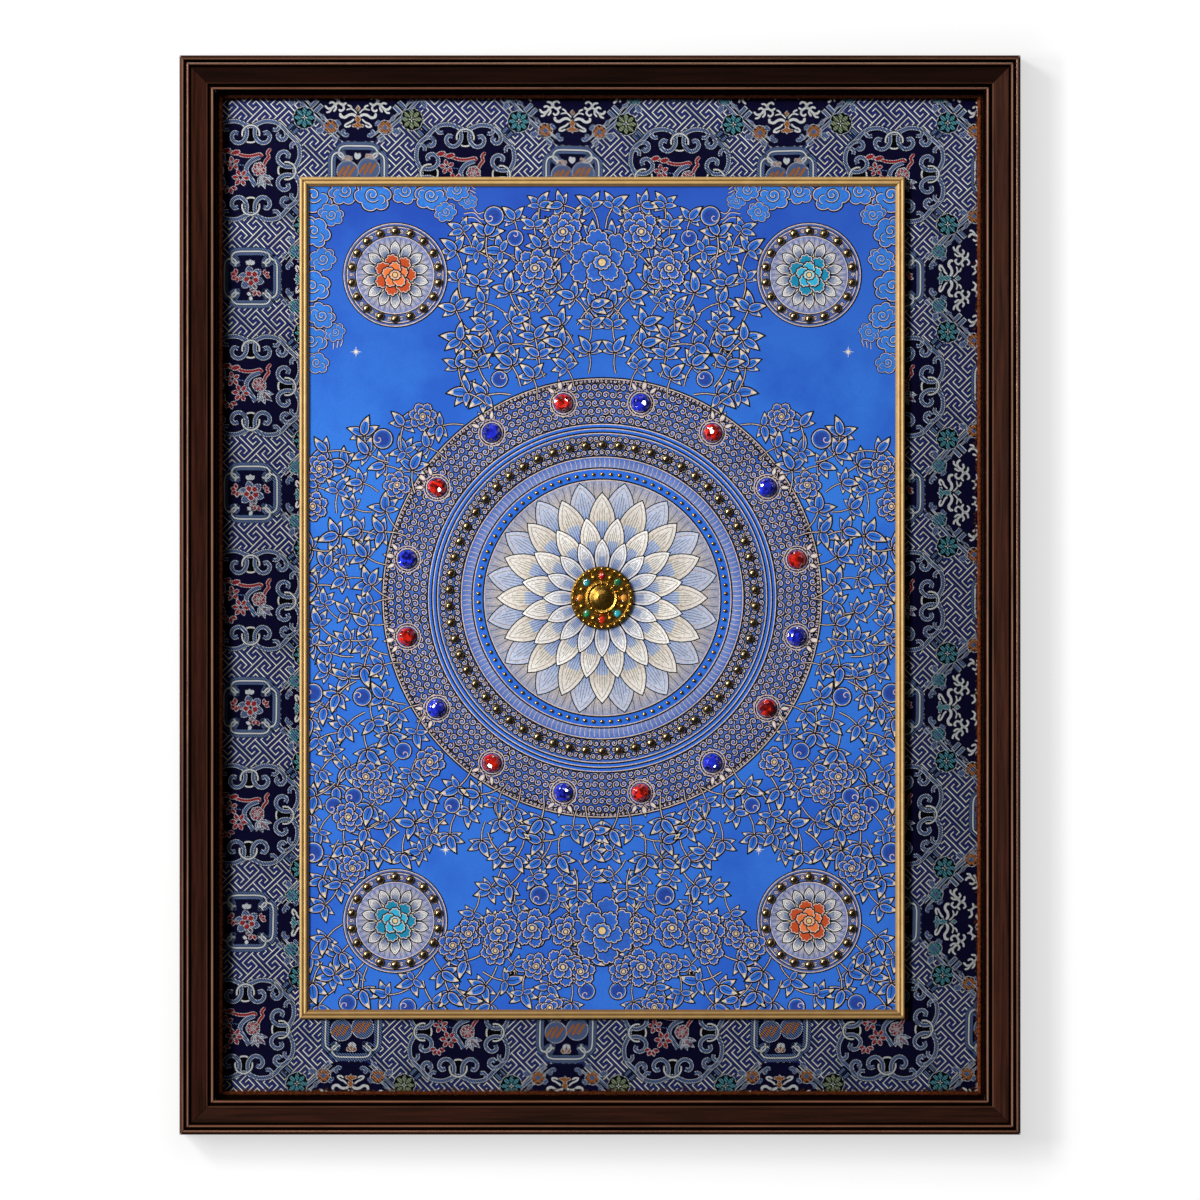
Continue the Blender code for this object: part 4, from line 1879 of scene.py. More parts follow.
    def small_flower(self, layer: Layer) -> Motif:
        """An eight-petalled flower, two bright bars above it and two dim ones below.

        Args:
            layer: the petals' thread.

        Returns:
            The motif.
        """
        motif = Motif()
        motif.fill(Layer.FRET_SHADE, circle(8.5, 24), self.edge)
        rim = lobed(8.2, 8, 0.07, 5, turn=22.5)
        motif.band(Layer.TWILL_EDGE, rim, -0.22, 0.22, self.ribbon, True)
        self.petals(motif, layer, (0.0, 0.0), 8, 7.4, 2.9, 0, rim=0.0)
        self.petals(motif, Layer.WHITE, (0.0, 0.0), 4, 1.9, 0.9, 45, rim=0.0, height=0.02)
        bar = np.array([(-1.2, 8.8), (1.2, 8.8), (1.2, 15.2), (-1.2, 15.2)])
        for shift in (-2.3, 2.3):
            motif.band(Layer.FRET_SHADE, np.array([(shift, 8.2), (shift, 15.9)]), -2.1, 2.1, self.rim)
            self.edged(motif, Layer.TWILL, bar + (shift, 0.0), self.figure, 0.34)
            motif.band(Layer.FRET_SHADE, np.array([(shift, -8.2), (shift, -14.4)]), -2.0, 2.0, self.edge)
            motif.band(Layer.TWILL, np.array([(shift, -8.8), (shift, -13.8)]), -1.1, 1.1, self.ribbon)
        return motif


# ---------------------------------------------------------------- picture


@dataclass
class Picture:
    """The painted cloth: a round lotus device with rings, roundels, foliage and clouds.

    Shapes that overlap are painted at a few height levels, so that each hides what it covers.
    """

    lotus_outer: float = 84.5
    bead_ring: float = 88.5
    bead_outer: float = 92.5
    ray_outer: float = 100.5
    band_inner: float = 101.0
    band_outer: float = 118.0
    stone_inner: float = 124.5
    stone_outer: float = 157.0
    stone_circle: float = 142.0
    roundel_across: float = 148.0
    roundel_up: float = 231.0
    roundel_radius: float = 37.0
    rim_circle: float = 31.4
    roundel_gap: float = 5.0
    paint: float = 0.04
    line: float = 0.012
    level: float = 0.03
    levels: int = 7
    wreath: float = 163.0
    crown: float = 284.0
    crown_half: float = 106.0
    crown_foot: float = 142.0
    side_from: float = 110.0
    sky: float = 176.0
    sky_slope: float = 0.35
    clearing: Point = (104.0, -196.0)
    clearing_radius: float = 26.0
    half_wide: float = 209.0
    half_tall: float = 293.0
    leaf_gap: float = 13.0
    tries: int = 9000

    def build(self) -> None:
        """Make the cloth, then paint everything on it."""
        low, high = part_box("picture_sheet")
        ground = PaintedGround("blue_ground", "#204aa6", "#2c6ec8", "#2a66c2", low.z, high.z)
        cloth = cloth_slab("picture_cloth", low, high, ground)
        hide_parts("picture_sheet")
        self.middle = middle_of(low, high)
        self.face = -low.y
        drawing = Drawing("picture", self.middle, self.face, low, high)
        self.place_foliage(drawing)
        self.place_clouds(drawing)
        drawing.place(self.rings(), [Spot(0, 0, lift=self.paint)])
        self.place_petals(drawing)
        self.place_curls(drawing)
        self.place_roundels(drawing)
        self.place_peonies(drawing)
        stars = ((84, 205), (40, 284), (102, 178), (176, 176), (112, -180), (172, -172))
        drawing.place(self.star(), self.mirrored([Spot(x, z, lift=self.paint) for x, z in stars]))
        drawing.finish()

    # -- placing

    def lifted(self, index: int) -> float:
        """Height of one of several overlapping shapes, so that neighbours differ."""
        return self.paint + self.level * (index % self.levels)

    def mirrored(self, spots: list[Spot]) -> list[Spot]:
        """The spots and their mirror images, left to right, laid a little higher."""
        rise = 0.45 * self.level
        return spots + [Spot(-s.across, s.up, -s.turn, s.size, not s.flip, s.lift + rise) for s in spots]

    def corners(self) -> list[Point]:
        """Middles of the four roundels."""
        return [(s * self.roundel_across, t * self.roundel_up) for s in (1, -1) for t in (1, -1)]

    def around(self, radius: float, count: int, turn: float = 0.0, lift: float = 0.0) -> list[Spot]:
        """Spots round the middle whose shapes point outwards, turned by a share of a step."""
        angles = [360 * (index + turn) / count for index in range(count)]
        return [
            Spot(-radius * math.sin(math.radians(a)), radius * math.cos(math.radians(a)), a, lift=lift)
            for a in angles
        ]

    def bunch(self, root: Spot, first: int) -> list[Spot]:
        """Leaves that fan out from a stem's end, the outer ones smaller.

        Args:
            root: where the stem ends, where it points, its size and whether it is mirrored.
            first: number of the first leaf, for its height.

        Returns:
            Their spots.
        """
        found = []
        fan = ((-88, 0.66), (86, 0.7), (-50, 0.86), (46, 0.9), (-6, 1.0))
        for index, (lean, share) in enumerate(fan):
            turn = root.turn + (-lean if root.flip else lean)
            size, flip = root.size * share, (lean > 0) != root.flip
            found.append(Spot(root.across, root.up, turn, size, flip, self.lifted(first + index)))
        return found

    def stem(self) -> Motif:
        """A bunch's bent stem, pale between ink lines."""
        motif = Motif()
        line = smooth([(4.4, -17.0), (1.2, -9.0), (0.0, 0.0)], 3)
        motif.band(Layer.INK, line, -0.95, 0.95, 0.0)
        motif.band(Layer.CREAM, line, -0.28, 0.28, self.line)
        return motif

    def grown(self, across: float, up: float) -> bool:
        """Whether leaves grow here: round the device but for the sky, and over the foot.

        Args:
            across: distance from the middle, to the right.
            up: distance from the middle, upwards.

        Returns:
            True where they do.
        """
        away = math.hypot(across, up)
        from_roundel = math.hypot(across - self.roundel_across, abs(up) - self.roundel_up)
        if away < self.wreath or from_roundel < self.roundel_radius + self.roundel_gap:
            return False
        if up > 0:
            crown = away < self.crown and across < self.crown_half and up > self.crown_foot
            return crown or (across > self.side_from and up < self.sky - self.sky_slope * across)
        from_clearing = math.hypot(across - self.clearing[0], up - self.clearing[1])
        return from_clearing >= self.clearing_radius

    # -- the round device

    def ring(
        self,
        motif: Motif,
        layer: Layer,
        inner: float,
        outer: float,
        height: float,
        first: str = PLAIN,
        last: str = "",
    ) -> None:
        """Paint a flat ring, fading from its inner hue to its outer one.

        Args:
            motif: the drawing.
            layer: the paint.
            inner: inner radius.
            outer: outer radius.
            height: height above the cloth.
            first: inner hex code.
            last: outer hex code, if another.
        """
        steps = 120
        points = np.concatenate([circle(inner, steps), circle(outer, steps)])
        faces = [(i, steps + i, steps + (i + 1) % steps, (i + 1) % steps) for i in range(steps)]
        tints = [linear(first)] * steps + [linear(last or first)] * steps
        motif.add(layer, points, height, faces, tints)

    def double_ring(self, motif: Motif, radius: float, height: float) -> None:
        """Paint an ink ring with a cream one inside it."""
        self.ring(motif, Layer.INK, radius, radius + 1.05, height)
        self.ring(motif, Layer.CREAM, radius - 0.6, radius, height)

    def rings(self) -> Motif:
        """The flat rings under the device, with their lines and its fine rays.

        Returns:
            The motif.
        """
        motif = Motif()
        blue = "#2a69d0"
        fills = (
            (Layer.SANDS, 15.0, 62.0, "#d9cfbd", "#cdbd9f"),
            (Layer.SANDS, 62.0, self.lotus_outer, "#cfbd98", "#8f97b4"),
            (Layer.BLUES, self.lotus_outer, self.bead_outer, blue, blue),
            (Layer.SANDS, self.bead_outer, self.ray_outer, "#7f92c4", "#4a6cb8"),
            (Layer.BLUES, self.band_inner, self.band_outer, "#4468b4", "#3560b0"),
            (Layer.BLUES, self.band_outer, self.stone_inner, blue, blue),
            (Layer.BLUES, self.stone_inner, self.stone_outer, "#4c6cb4", "#2050ac"),
        )
        for layer, inner, outer, first, last in fills:
            self.ring(motif, layer, inner, outer, 0.0, first, last)
        edges = (self.lotus_outer, self.bead_outer, self.band_inner, self.band_outer)
        for radius in (*edges, 121.3, self.stone_inner, self.stone_outer):
            self.double_ring(motif, radius, 0.04)
        rays = 176
        for index in range(rays):
            start, end = 46.0 + 2.0 * (index % 3), 83.0
            radii = np.linspace(start, end, 10)
            sway = 0.55 * np.sin(np.linspace(0, 3.5 * math.pi, 10) + index)
            line = moved(np.stack([sway, radii], 1), turn=360 * index / rays)
            motif.band(Layer.CREAM if index % 2 else Layer.INK, line, -0.16, 0.18, self.line)
            outer = moved(np.array([(0.0, 93.5), (0.4, 96.5), (0.0, 99.5)]), turn=360 * (index + 0.5) / rays)
            motif.band(Layer.CREAM, outer, -0.2, 0.2, self.line)
        return motif

    def lotus_petal(self, length: float, wide: float, root: str, tip: str) -> Motif:
        """A pointed petal, shaded from root to tip, with a folded rim and fine veins.

        Args:
            length: from root to tip.
            wide: its widest.
            root: hex code at its root.
            tip: hex code at its tip.

        Returns:
            The motif.
        """
        motif = Motif()
        share = np.linspace(0, 1, 12)
        swell = 0.42 + 0.58 * np.sin(np.pi * np.clip(share / 1.15, 0, 1) ** 1.1)
        half = wide / 2 * swell * (1 - share**3.2) ** 0.7
        half[-1] = 0.02
        right, left = np.stack([half, share * length], 1), np.stack([-half, share * length], 1)
        motif.strip(Layer.SANDS, left, right, 0.0, (root, tip))
        motif.band(Layer.INK, np.concatenate([right, left[-2::-1]]), -0.7, 0.0, 0.04)
        for part, layer, thick in ((0.8, Layer.CREAM, 0.5), (0.72, Layer.INK, 0.22)):
            fold = np.concatenate([right * (part, 0.93), left[-2::-1] * (part, 0.93)])
            motif.band(layer, fold, 0.0, thick, self.line)
        heart_left, heart_right = left[:7] * (0.5, 0.9), right[:7] * (0.5, 0.9)
        motif.strip(Layer.BLUES, heart_left, heart_right, 0.006, ("#4a70bd", "#a9b6cf"))
        veins = 7
        for index in range(veins):
            lean = 1.2 * (index / (veins - 1) - 0.5)
            vein = np.stack([half * lean, share * length], 1)[1 : 10 - abs(index - veins // 2)]
            motif.band(Layer.INK, vein, -0.13, 0.13, self.line)
        return motif

    def place_petals(self, drawing: Drawing) -> None:
        """Lay the lotus in four rows, the inner ones over the outer.

        Args:
            drawing: the cloth's drawing.
        """
        rows = (
            # root radius, length, width, count, turn, root hue, tip hue
            (46.0, 37.0, 22.0, 16, 0.5, "#8f9cc0", "#c3cbdc"),
            (36.0, 39.0, 20.0, 16, 0.0, "#b9a98e", "#ece8e0"),
            (25.0, 33.0, 16.0, 16, 0.5, "#c9bda6", "#f6f4ef"),
            (18.0, 24.0, 11.5, 16, 0.0, "#b3bdd4", "#fbfaf6"),
        )
        for order, (radius, length, wide, count, turn, root, tip) in enumerate(rows):
            lift = self.paint + 0.02 + 0.05 * order
            drawing.place(self.lotus_petal(length, wide, root, tip), self.around(radius, count, turn, lift))

    def place_curls(self, drawing: Drawing) -> None:
        """Fill the bead band and the stone band with rows of curls, and ring the stones.

        Args:
            drawing: the cloth's drawing.
        """
        bands = (
            # radii of the rows, reach of one curl
            ((104.2, 109.0, 113.8), 2.35),
            ((127.9, 133.7, 139.5, 145.3, 151.1), 2.85),
            ((155.0,), 1.7),
        )
        for rows, reach in bands:
            motif = Motif()
            motif.stroke(spiral((0.0, 0.0), reach, 0.25 * reach, 0, 470, 11), 0.0, 0.85, 0.46)
            spots = []
            for row, radius in enumerate(rows):
                count = int(FULL_TURN * radius / (reach * 1.8))
                for index, spot in enumerate(self.around(radius, count, 0.5 * (row % 2))):
                    odd = index % 2 == 1
                    lift = self.paint + self.line * (1.5 if odd else 1.0)
                    spots.append(replace(spot, turn=spot.turn + 137.0 * index, flip=odd, lift=lift))
            drawing.place(motif, spots)
        halo = Motif()
        halo.fill(Layer.BLUES, circle(7.4, 24), 0.02, "#2a66cc")
        for radius in (7.6, 9.4):
            halo.band(Layer.CREAM, circle(radius, 28), -0.3, 0.3, 0.04, True)
            halo.band(Layer.INK, circle(radius, 28), 0.3, 0.85, 0.04, True)
        stones = self.around(self.stone_circle, 16, 0.5, self.paint)
        drawing.place(halo, stones)
        flame = Motif()
        tongue = self.outline(*self.leaf_sides(8.0, 3.2, 0.0, 6))
        tongues = ((1.0, (0.0, 9.6), 0.0), (0.8, (5.04, 8.2), -38.4), (0.8, (-5.04, 8.2), 38.4))
        for size, place, turn in tongues:
            placed = moved(tongue * size, place, turn)
            flame.glow(Layer.SANDS, placed, 0.02, "#b9a8b4", "#e4d6c4")
            flame.band(Layer.INK, placed, -0.55, 0.0, 0.04, True)
        drawing.place(flame, stones)

    # -- leaves, flowers and clouds

    def leaf_sides(
        self, length: float, wide: float, bend: float, steps: int
    ) -> tuple[np.ndarray, np.ndarray]:
        """Left and right edges of a bent, pointed leaf.

        Args:
            length: from root to tip.
            wide: its widest.
            bend: how far the tip leans to the right.
            steps: stretches along it.

        Returns:
            The left and the right edge, from root to tip.
        """
        share = np.linspace(0, 1, steps + 1)
        half = wide / 2 * np.sin(np.pi * share**0.72) ** 0.85
        half[0] = half[-1] = 0.02
        spine = np.stack([bend * share**2, length * share], 1)
        way = np.stack([2 * bend * share, np.full(steps + 1, length)], 1)
        way /= np.linalg.norm(way, axis=1, keepdims=True)
        side = np.stack([-way[:, 1], way[:, 0]], 1) * half[:, None]
        return spine + side, spine - side

    def outline(self, left: np.ndarray, right: np.ndarray) -> np.ndarray:
        """The closed outline of two edges that meet at both ends."""
        return np.concatenate([right, left[-2:0:-1]])

    def leaf(self, length: float = 14.5, wide: float = 6.6, bend: float = 3.6) -> Motif:
        """A leaf of the ground's blue with a dark and a pale outline, a midrib and a cream tip.

        Args:
            length: from root to tip.
            wide: its widest.
            bend: how far the tip leans to the right.

        Returns:
            The motif.
        """
        motif = Motif()
        left, right = self.leaf_sides(length, wide, bend, 7)
        motif.strip(Layer.BLUES, left, right, 0.0, ("#1f52b0", "#2f78d6"))
        motif.lined(self.outline(left, right), self.line, 1.1, 0.42)
        rib = ((left + right) / 2)[1:6:2]
        motif.band(Layer.INK, rib, -0.25, 0.25, self.line)
        inward = (right - left) * 0.2
        tip_left, tip_right = (left + inward)[5:], (right - inward)[5:]
        motif.strip(Layer.SANDS, tip_left, tip_right, 0.018, ("#cbb9a6", "#f0e4bc"))
        return motif

    def fruit(self, radius: float = 7.0) -> Motif:
        """A round fruit, dark at its heart, with a double outline and a curl at its top.

        Args:
            radius: its radius.

        Returns:
            The motif.
        """
        motif = Motif()
        outline = circle(radius, 26)
        motif.glow(Layer.BLUES, outline, 0.0, "#2f70c8", "#1f4096", 0.62)
        motif.lined(outline, self.line)
        curl = spiral((0.6, radius * 0.45), radius * 0.5, 0.9, 110, -300, 10)
        motif.band(Layer.CREAM, curl, -0.3, 0.3, self.line)
        return motif

    def peony(self, radius: float, tints: tuple[str, str, str], layer: Layer) -> Motif:
        """A full flower of three scalloped rounds with creased petals and a seeded heart.

        Args:
            radius: outer radius.
            tints: hues of the three rounds, from the outer one.
            layer: their paint.

        Returns:
            The motif.
        """
        motif = Motif()
        height = 0.0
        rounds = (
            # petals, how far out, their size, turn
            (7, 0.6, 0.42, 0.0),
            (5, 0.3, 0.34, 20.0),
            (1, 0.0, 0.27, 0.0),
        )
        for tint, (count, reach, size, turn) in zip(tints, rounds):
            scallops = lobed(radius * size, 9, 0.16, 4, 0.84)
            core = "#2a5cb8" if layer is Layer.BLUES else tint
            for index in range(count):
                angle = FULL_TURN * index / count + math.radians(turn)
                place = (radius * reach * math.cos(angle), radius * reach * math.sin(angle))
                shape = moved(scallops, place, math.degrees(angle))
                motif.glow(layer, shape, height, tint, core, 0.55)
                motif.lined(shape, height + self.line, 0.8, 0.5)
                height += 0.02
        motif.fill(Layer.SANDS, circle(radius * 0.11, 12), height, "#e2c28a")
        motif.band(Layer.INK, circle(radius * 0.11, 12), -0.6, 0.0, height, True)
        return motif

    def puff(self, lobes: int) -> Motif:
        """A cloud puff with a scalloped rim, a curled eye and two inner arcs.

        Args:
            lobes: how many scallops.

        Returns:
            The motif.
        """
        motif = Motif()
        shape = lobed(12.0, lobes, 0.2, 7, 0.84)
        motif.glow(Layer.BLUES, shape, 0.0, "#2454b4", "#2f74cc", 0.8)
        motif.lined(shape, self.line, 0.8, 0.42)
        motif.stroke(spiral((0.5, 0.2), 5.2, 1.0, 200, 560, 20), self.line, 0.65, 0.4)
        for centre, turn in (((-5.6, -1.2), 60), ((5.4, 2.6), -40)):
            motif.stroke(spiral(centre, 3.4, 2.6, turn, 170, 8), self.line, 0.6, 0.35)
        return motif

    def wisp(self) -> Motif:
        """A trailing tail of cloud: waved double lines that end in a hook.

        Returns:
            The motif.
        """
        motif = Motif()
        wave = ((0.0, 0.0), (0.3, -3.4), (0.62, -0.6), (0.9, -3.6), (1.0, -1.0), (0.93, 0.6))
        for order, (reach, drop) in enumerate(((30.0, 0.0), (24.0, 3.6), (17.0, 7.0))):
            tail = smooth([(reach * share, rise - drop) for share, rise in wave], 5)
            motif.stroke(tail, 0.002 * order, 0.65, 0.6)
        return motif

    def star(self) -> Motif:
        """A small cream star of four long points and four short ones.

        Returns:
            The motif.
        """
        motif = Motif()
        turns = np.arange(16) * FULL_TURN / 16
        reach = np.tile((4.4, 0.9, 2.6, 0.9), 4)
        outline = np.stack([reach * np.sin(turns), reach * np.cos(turns)], 1)[::-1]
        motif.fill(Layer.SANDS, outline, 0.0, "#e8dfc8")
        return motif

    def place_foliage(self, drawing: Drawing) -> None:
        """Grow bunches of leaves, fruits and buds round the device and over the foot.

        They are tried at random places on the right, kept where there is room, and mirrored.

        Args:
            drawing: the cloth's drawing.
        """
        chance = np.random.default_rng(7)
        kinds, fruit_at, bud_at = 13, 5, 10
        stems, fruits, buds = [], [], []
        for _ in range(self.tries):
            across, up = chance.uniform(5.0, self.half_wide), chance.uniform(-self.half_tall, self.half_tall)
            sway, size = chance.normal(0.0, 38.0), chance.uniform(0.78, 1.0)
            taken = stems + fruits + buds
            if not self.grown(across, up):
                continue
            if any(math.hypot(across - s.across, up - s.up) < self.leaf_gap for s in taken):
                continue
            turn = -math.degrees(math.atan2(across, up)) + sway
            spot = Spot(across, up, turn, size, sway > 0, self.lifted(3) + 0.02)
            kind = len(taken) % kinds
            (fruits if kind == fruit_at else buds if kind == bud_at else stems).append(spot)
        leaves = [leaf for index, root in enumerate(stems) for leaf in self.bunch(root, 2 * index)]
        drawing.place(self.leaf(), self.mirrored(leaves))
        drawing.place(self.stem(), self.mirrored(stems))
        drawing.place(self.fruit(), [replace(s, lift=0.24) for s in self.mirrored(fruits)])
        blossom = self.peony(11.5, ("#2a62b8", "#3270c4", "#5c8ccc"), Layer.BLUES)
        drawing.place(blossom, [replace(s, lift=0.26) for s in self.mirrored(buds)])

    def place_clouds(self, drawing: Drawing) -> None:
        """Bank clouds in the upper corners and trail a few tails from them.

        Args:
            drawing: the cloth's drawing.
        """
        bank = (
            # across, up, size, turn
            (206, 288, 1.25, 10), (184, 291, 1.0, -10), (164, 288, 1.15, 20), (141, 291, 0.95, 0),
            (122, 288, 1.05, -15), (104, 292, 0.8, 10), (206, 262, 1.05, 40), (200, 242, 0.85, -20),
            (207, 223, 1.1, 10), (201, 202, 0.9, 30), (208, 184, 1.0, -10), (194, 274, 0.8, 15),
            (204, 168, 0.75, 20), (112, 276, 0.7, -20), (96, 284, 0.6, 10), (191, 190, 0.65, -30),
        )  # fmt: skip
        for lobes in (6, 7):
            chosen = [
                Spot(x, z, turn, size, lobes == 7, self.lifted(2 * index + 1))
                for index, (x, z, size, turn) in enumerate(bank)
                if index % 2 == lobes - 6
            ]
            drawing.place(self.puff(lobes), self.mirrored(chosen))
        tails = ((100, 272, 200, 0.9, False), (192, 178, 250, 0.8, True), (90, 287, 175, 0.8, True))
        drawing.place(self.wisp(), self.mirrored([Spot(*tail, self.paint) for tail in tails]))

    def place_roundels(self, drawing: Drawing) -> None:
        """Set a roundel with a bright blossom in each corner.

        Args:
            drawing: the cloth's drawing.
        """
        corners = self.corners()
        base = Motif()
        steps = 48
        base.glow(Layer.BLUES, circle(self.roundel_radius, steps), 0.0, "#4a62a2", "#4a62a2", 0.6)
        base.glow(Layer.SANDS, circle(self.roundel_radius - 9.0, steps), 0.006, "#6d82ba", "#d6c7a6", 0.5)
        for radius in (self.roundel_radius, self.roundel_radius - 2.4, self.roundel_radius - 9.0):
            base.lined(circle(radius, steps), self.line, 0.7, 0.6)
        for index in range(80):
            ray = moved(np.array([(0.0, 15.0 + index % 3), (0.3, 20.0), (0.0, 26.5)]), turn=4.5 * index)
            base.band(Layer.CREAM if index % 2 else Layer.INK, ray, -0.14, 0.16, self.line)
        under = 0.30
        drawing.place(base, [Spot(x, z, lift=under) for x, z in corners])
        curl = Motif()
        curl.stroke(spiral((0.0, 0.0), 1.9, 0.5, 0, 470, 9), 0.0, 0.45, 0.5)
        ringed, curls = [], 44
        for corner in corners:
            for index, place in enumerate(circle(self.rim_circle, curls, corner)):
                ringed.append(Spot(*place, 97.0 * index, 1.0, index % 2 == 1, under + self.line))
        drawing.place(curl, ringed)
        petal = self.lotus_petal(11.0, 7.5, "#9fb0d0", "#f3f1ea")
        flower = self.around(13.0, 14, lift=under + 0.03)
        petals = [replace(s, across=x + s.across, up=z + s.up) for x, z in corners for s in flower]
        drawing.place(petal, petals)
        oranges, teals = ("#b8481f", "#e0733a", "#f0a066"), ("#147ea2", "#2fa6c8", "#7ed0de")
        for sign, tints in ((-1, oranges), (1, teals)):
            shape = self.peony(15.0, tints, Layer.ACCENTS)
            drawing.place(shape, [Spot(x, z, lift=under + 0.09) for x, z in corners if x * z * sign > 0])

    def place_peonies(self, drawing: Drawing) -> None:
        """Set blue peonies above and below the device.

        Args:
            drawing: the cloth's drawing.
        """
        blues = ("#275ab2", "#326ec2", "#5f90d2")
        large, small = self.peony(24.0, blues, Layer.BLUES), self.peony(14.0, blues, Layer.BLUES)
        drawing.place(large, [Spot(0, 240, lift=0.3), Spot(0, -238, 180, lift=0.3)])
        pairs = [(48, 236), (28, 262), (50, -236), (28, -264), (74, -238)]
        drawing.place(small, self.mirrored([Spot(x, z, lift=0.3) for x, z in pairs]))


# ---------------------------------------------------------------- metal and stones


def dome_mesh(radius: float, height: float, around: int = 14, rows: int = 4) -> Mesh:
    """A half-bead on a thin flange, facing the front, closed at its back.

    Args:
        radius: its radius, in metres.
        height: its height, in metres.
        around: faces round it.
        rows: rows of faces up it.

    Returns:
        The mesh, about the middle of its back.
    """
    profile = [(radius * 1.08, 0.0), (radius * 1.08, height * 0.12)]
    for row in range(rows):
        angle = math.pi / 2 * row / rows
        profile.append((radius * math.cos(angle), height * (0.14 + 0.86 * math.sin(angle))))
    points = [(0.0, 0.0, 0.0)]
    for r, h in profile:
        turns = [FULL_TURN * i / around for i in range(around)]
        points += [(r * math.cos(turn), -h, r * math.sin(turn)) for turn in turns]
    points.append((0.0, -height, 0.0))
    faces = []
    for ring in range(len(profile) - 1):
        first = 1 + ring * around
        for i in range(around):
            j = (i + 1) % around
            faces.append((first + i, first + j, first + around + j, first + around + i))
    last = 1 + (len(profile) - 1) * around
    for i in range(around):
        j = (i + 1) % around
        faces.append((0, 1 + j, 1 + i))
        faces.append((last + i, last + j, len(points) - 1))
    mesh = bpy.data.meshes.new("half_bead")
    mesh.from_pydata(points, [], faces)
    mesh.shade_smooth()
    mesh.set_sharp_from_angle(angle=math.radians(50))
    return mesh


def spaced(radius: float, count: int, first: float = 0.0, centre: Point = (0.0, 0.0)) -> list[Point]:
    """Places round a circle, clockwise, the first turned from its top by a share of a step."""
    turns = [FULL_TURN * (i + first) / count for i in range(count)]
    return [(centre[0] + radius * math.sin(t), centre[1] + radius * math.cos(t)) for t in turns]


def set_domes(
    name: str,
    places: list[Point],
    seat: tuple[float, float, float],
    radius: float,
    height: float,
    finish: Finish,
) -> None:
    """Repeat one bead or inlay on its places.

    Args:
        name: the piece's name.
        places: across and up from the seat, in millimetres.
        seat: the middle that the places are measured from, at the beads' backs, in metres.
        radius: the bead's radius, in millimetres.
        height: its height, in millimetres.
        finish: what it wears.
    """
    spots = np.array([(seat[0] + x * MM, seat[1], seat[2] + z * MM) for x, z in places])
    nothing, whole = np.zeros((len(places), 3)), np.ones((len(places), 3))
    mesh = repeated_mesh(dome_mesh(radius * MM, height * MM), spots, nothing, whole, finish)
    add_piece(name, mesh, finish)


@dataclass
class MetalBeads:
    """Rows of half-beads glued on the picture."""

    picture: Picture
    radius: float = 3.0
    height: float = 2.6
    pitch: float = 11.7
    round_roundel: int = 18
    small_radius: float = 1.25
    small_height: float = 1.2
    small_count: int = 90
    seat: float = 0.32

    def build(self) -> None:
        """Set the large beads round the device and the roundels, and a small ring inside."""
        old_brass = CastMetal("old_brass", "#a8926a", "#4c3d28", 0.22)
        bright = CastMetal("bright_brass", "#d8a648", "#7a5320", 0.24)
        picture = self.picture
        seat = (picture.middle[0], -(picture.face + self.seat * MM), picture.middle[1])
        band = (picture.band_inner + picture.band_outer) / 2
        large = spaced(band, int(FULL_TURN * band / self.pitch))
        for corner in picture.corners():
            large += spaced(picture.rim_circle, self.round_roundel, centre=corner)
        set_domes("brass_half_beads", large, seat, self.radius, self.height, old_brass)
        small = spaced(picture.bead_ring, self.small_count)
        set_domes("small_half_beads", small, seat, self.small_radius, self.small_height, bright)


@dataclass
class Stones:
    """The glued stones. Their cut facets are the CAD model's own."""

    blue: CutGlass = CutGlass("blue_cut_glass", "#2a3cff", "#05064e")
    red: CutGlass = CutGlass("red_cut_glass", "#ff2a14", "#4e0404")

    def build(self) -> None:
        """Dress each stone."""
        for node in sorted(o.name for o in bpy.data.objects if o.name.startswith("stone_")):
            dress(node, self.blue if "blue" in node else self.red)
        LOG.info("stones dressed")


@dataclass
class GiltBoss:
    """The boss at the middle: the turned disc with beads and glass inlays set on it."""

    picture: Picture
    inlays: int = 8
    inlay_circle: float = 15.7
    floor_height: float = 1.6

    def build(self) -> None:
        """Dress the disc and set its beads and inlays."""
        gold = CastMetal("polished_gilt", "#e8b552", "#8c5e22", 0.22)
        dress("boss", gold)
        low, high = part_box("boss")
        across, up = middle_of(low, high)
        floor = high.y - self.floor_height * MM
        tones = (
            ("red_inlay", CutGlass("red_inlay_glass", "#ff3a20", "#7a0c06")),
            ("green_inlay", CutGlass("green_inlay_glass", "#2fae74", "#0c4a34")),
            ("amber_inlay", CutGlass("amber_inlay_glass", "#ffb24a", "#a85a10")),
            ("turquoise_inlay", CutGlass("turquoise_inlay_glass", "#43c8d4", "#126a7c")),
        )
        settings = spaced(self.inlay_circle, self.inlays)
        for order, (name, finish) in enumerate(tones):
            set_domes(name, settings[order :: len(tones)], (across, floor, up), 2.3, 1.3, finish)
        rows = (
            # piece, its circle, count, first, rise above the floor, radius, height
            ("boss_beads", self.inlay_circle, self.inlays, 0.5, 0.0, 1.5, 1.3),
            ("boss_rim_beads", 20.9, 28, 0.0, 0.55, 1.05, 0.9),
            ("boss_collar_beads", 10.4, 16, 0.0, 1.15, 0.95, 0.8),
        )
        for name, ring, count, first, rise, radius, height in rows:
            seat = (across, floor - rise * MM, up)
            set_domes(name, spaced(ring, count, first), seat, radius, height, gold)


# ---------------------------------------------------------------- studio


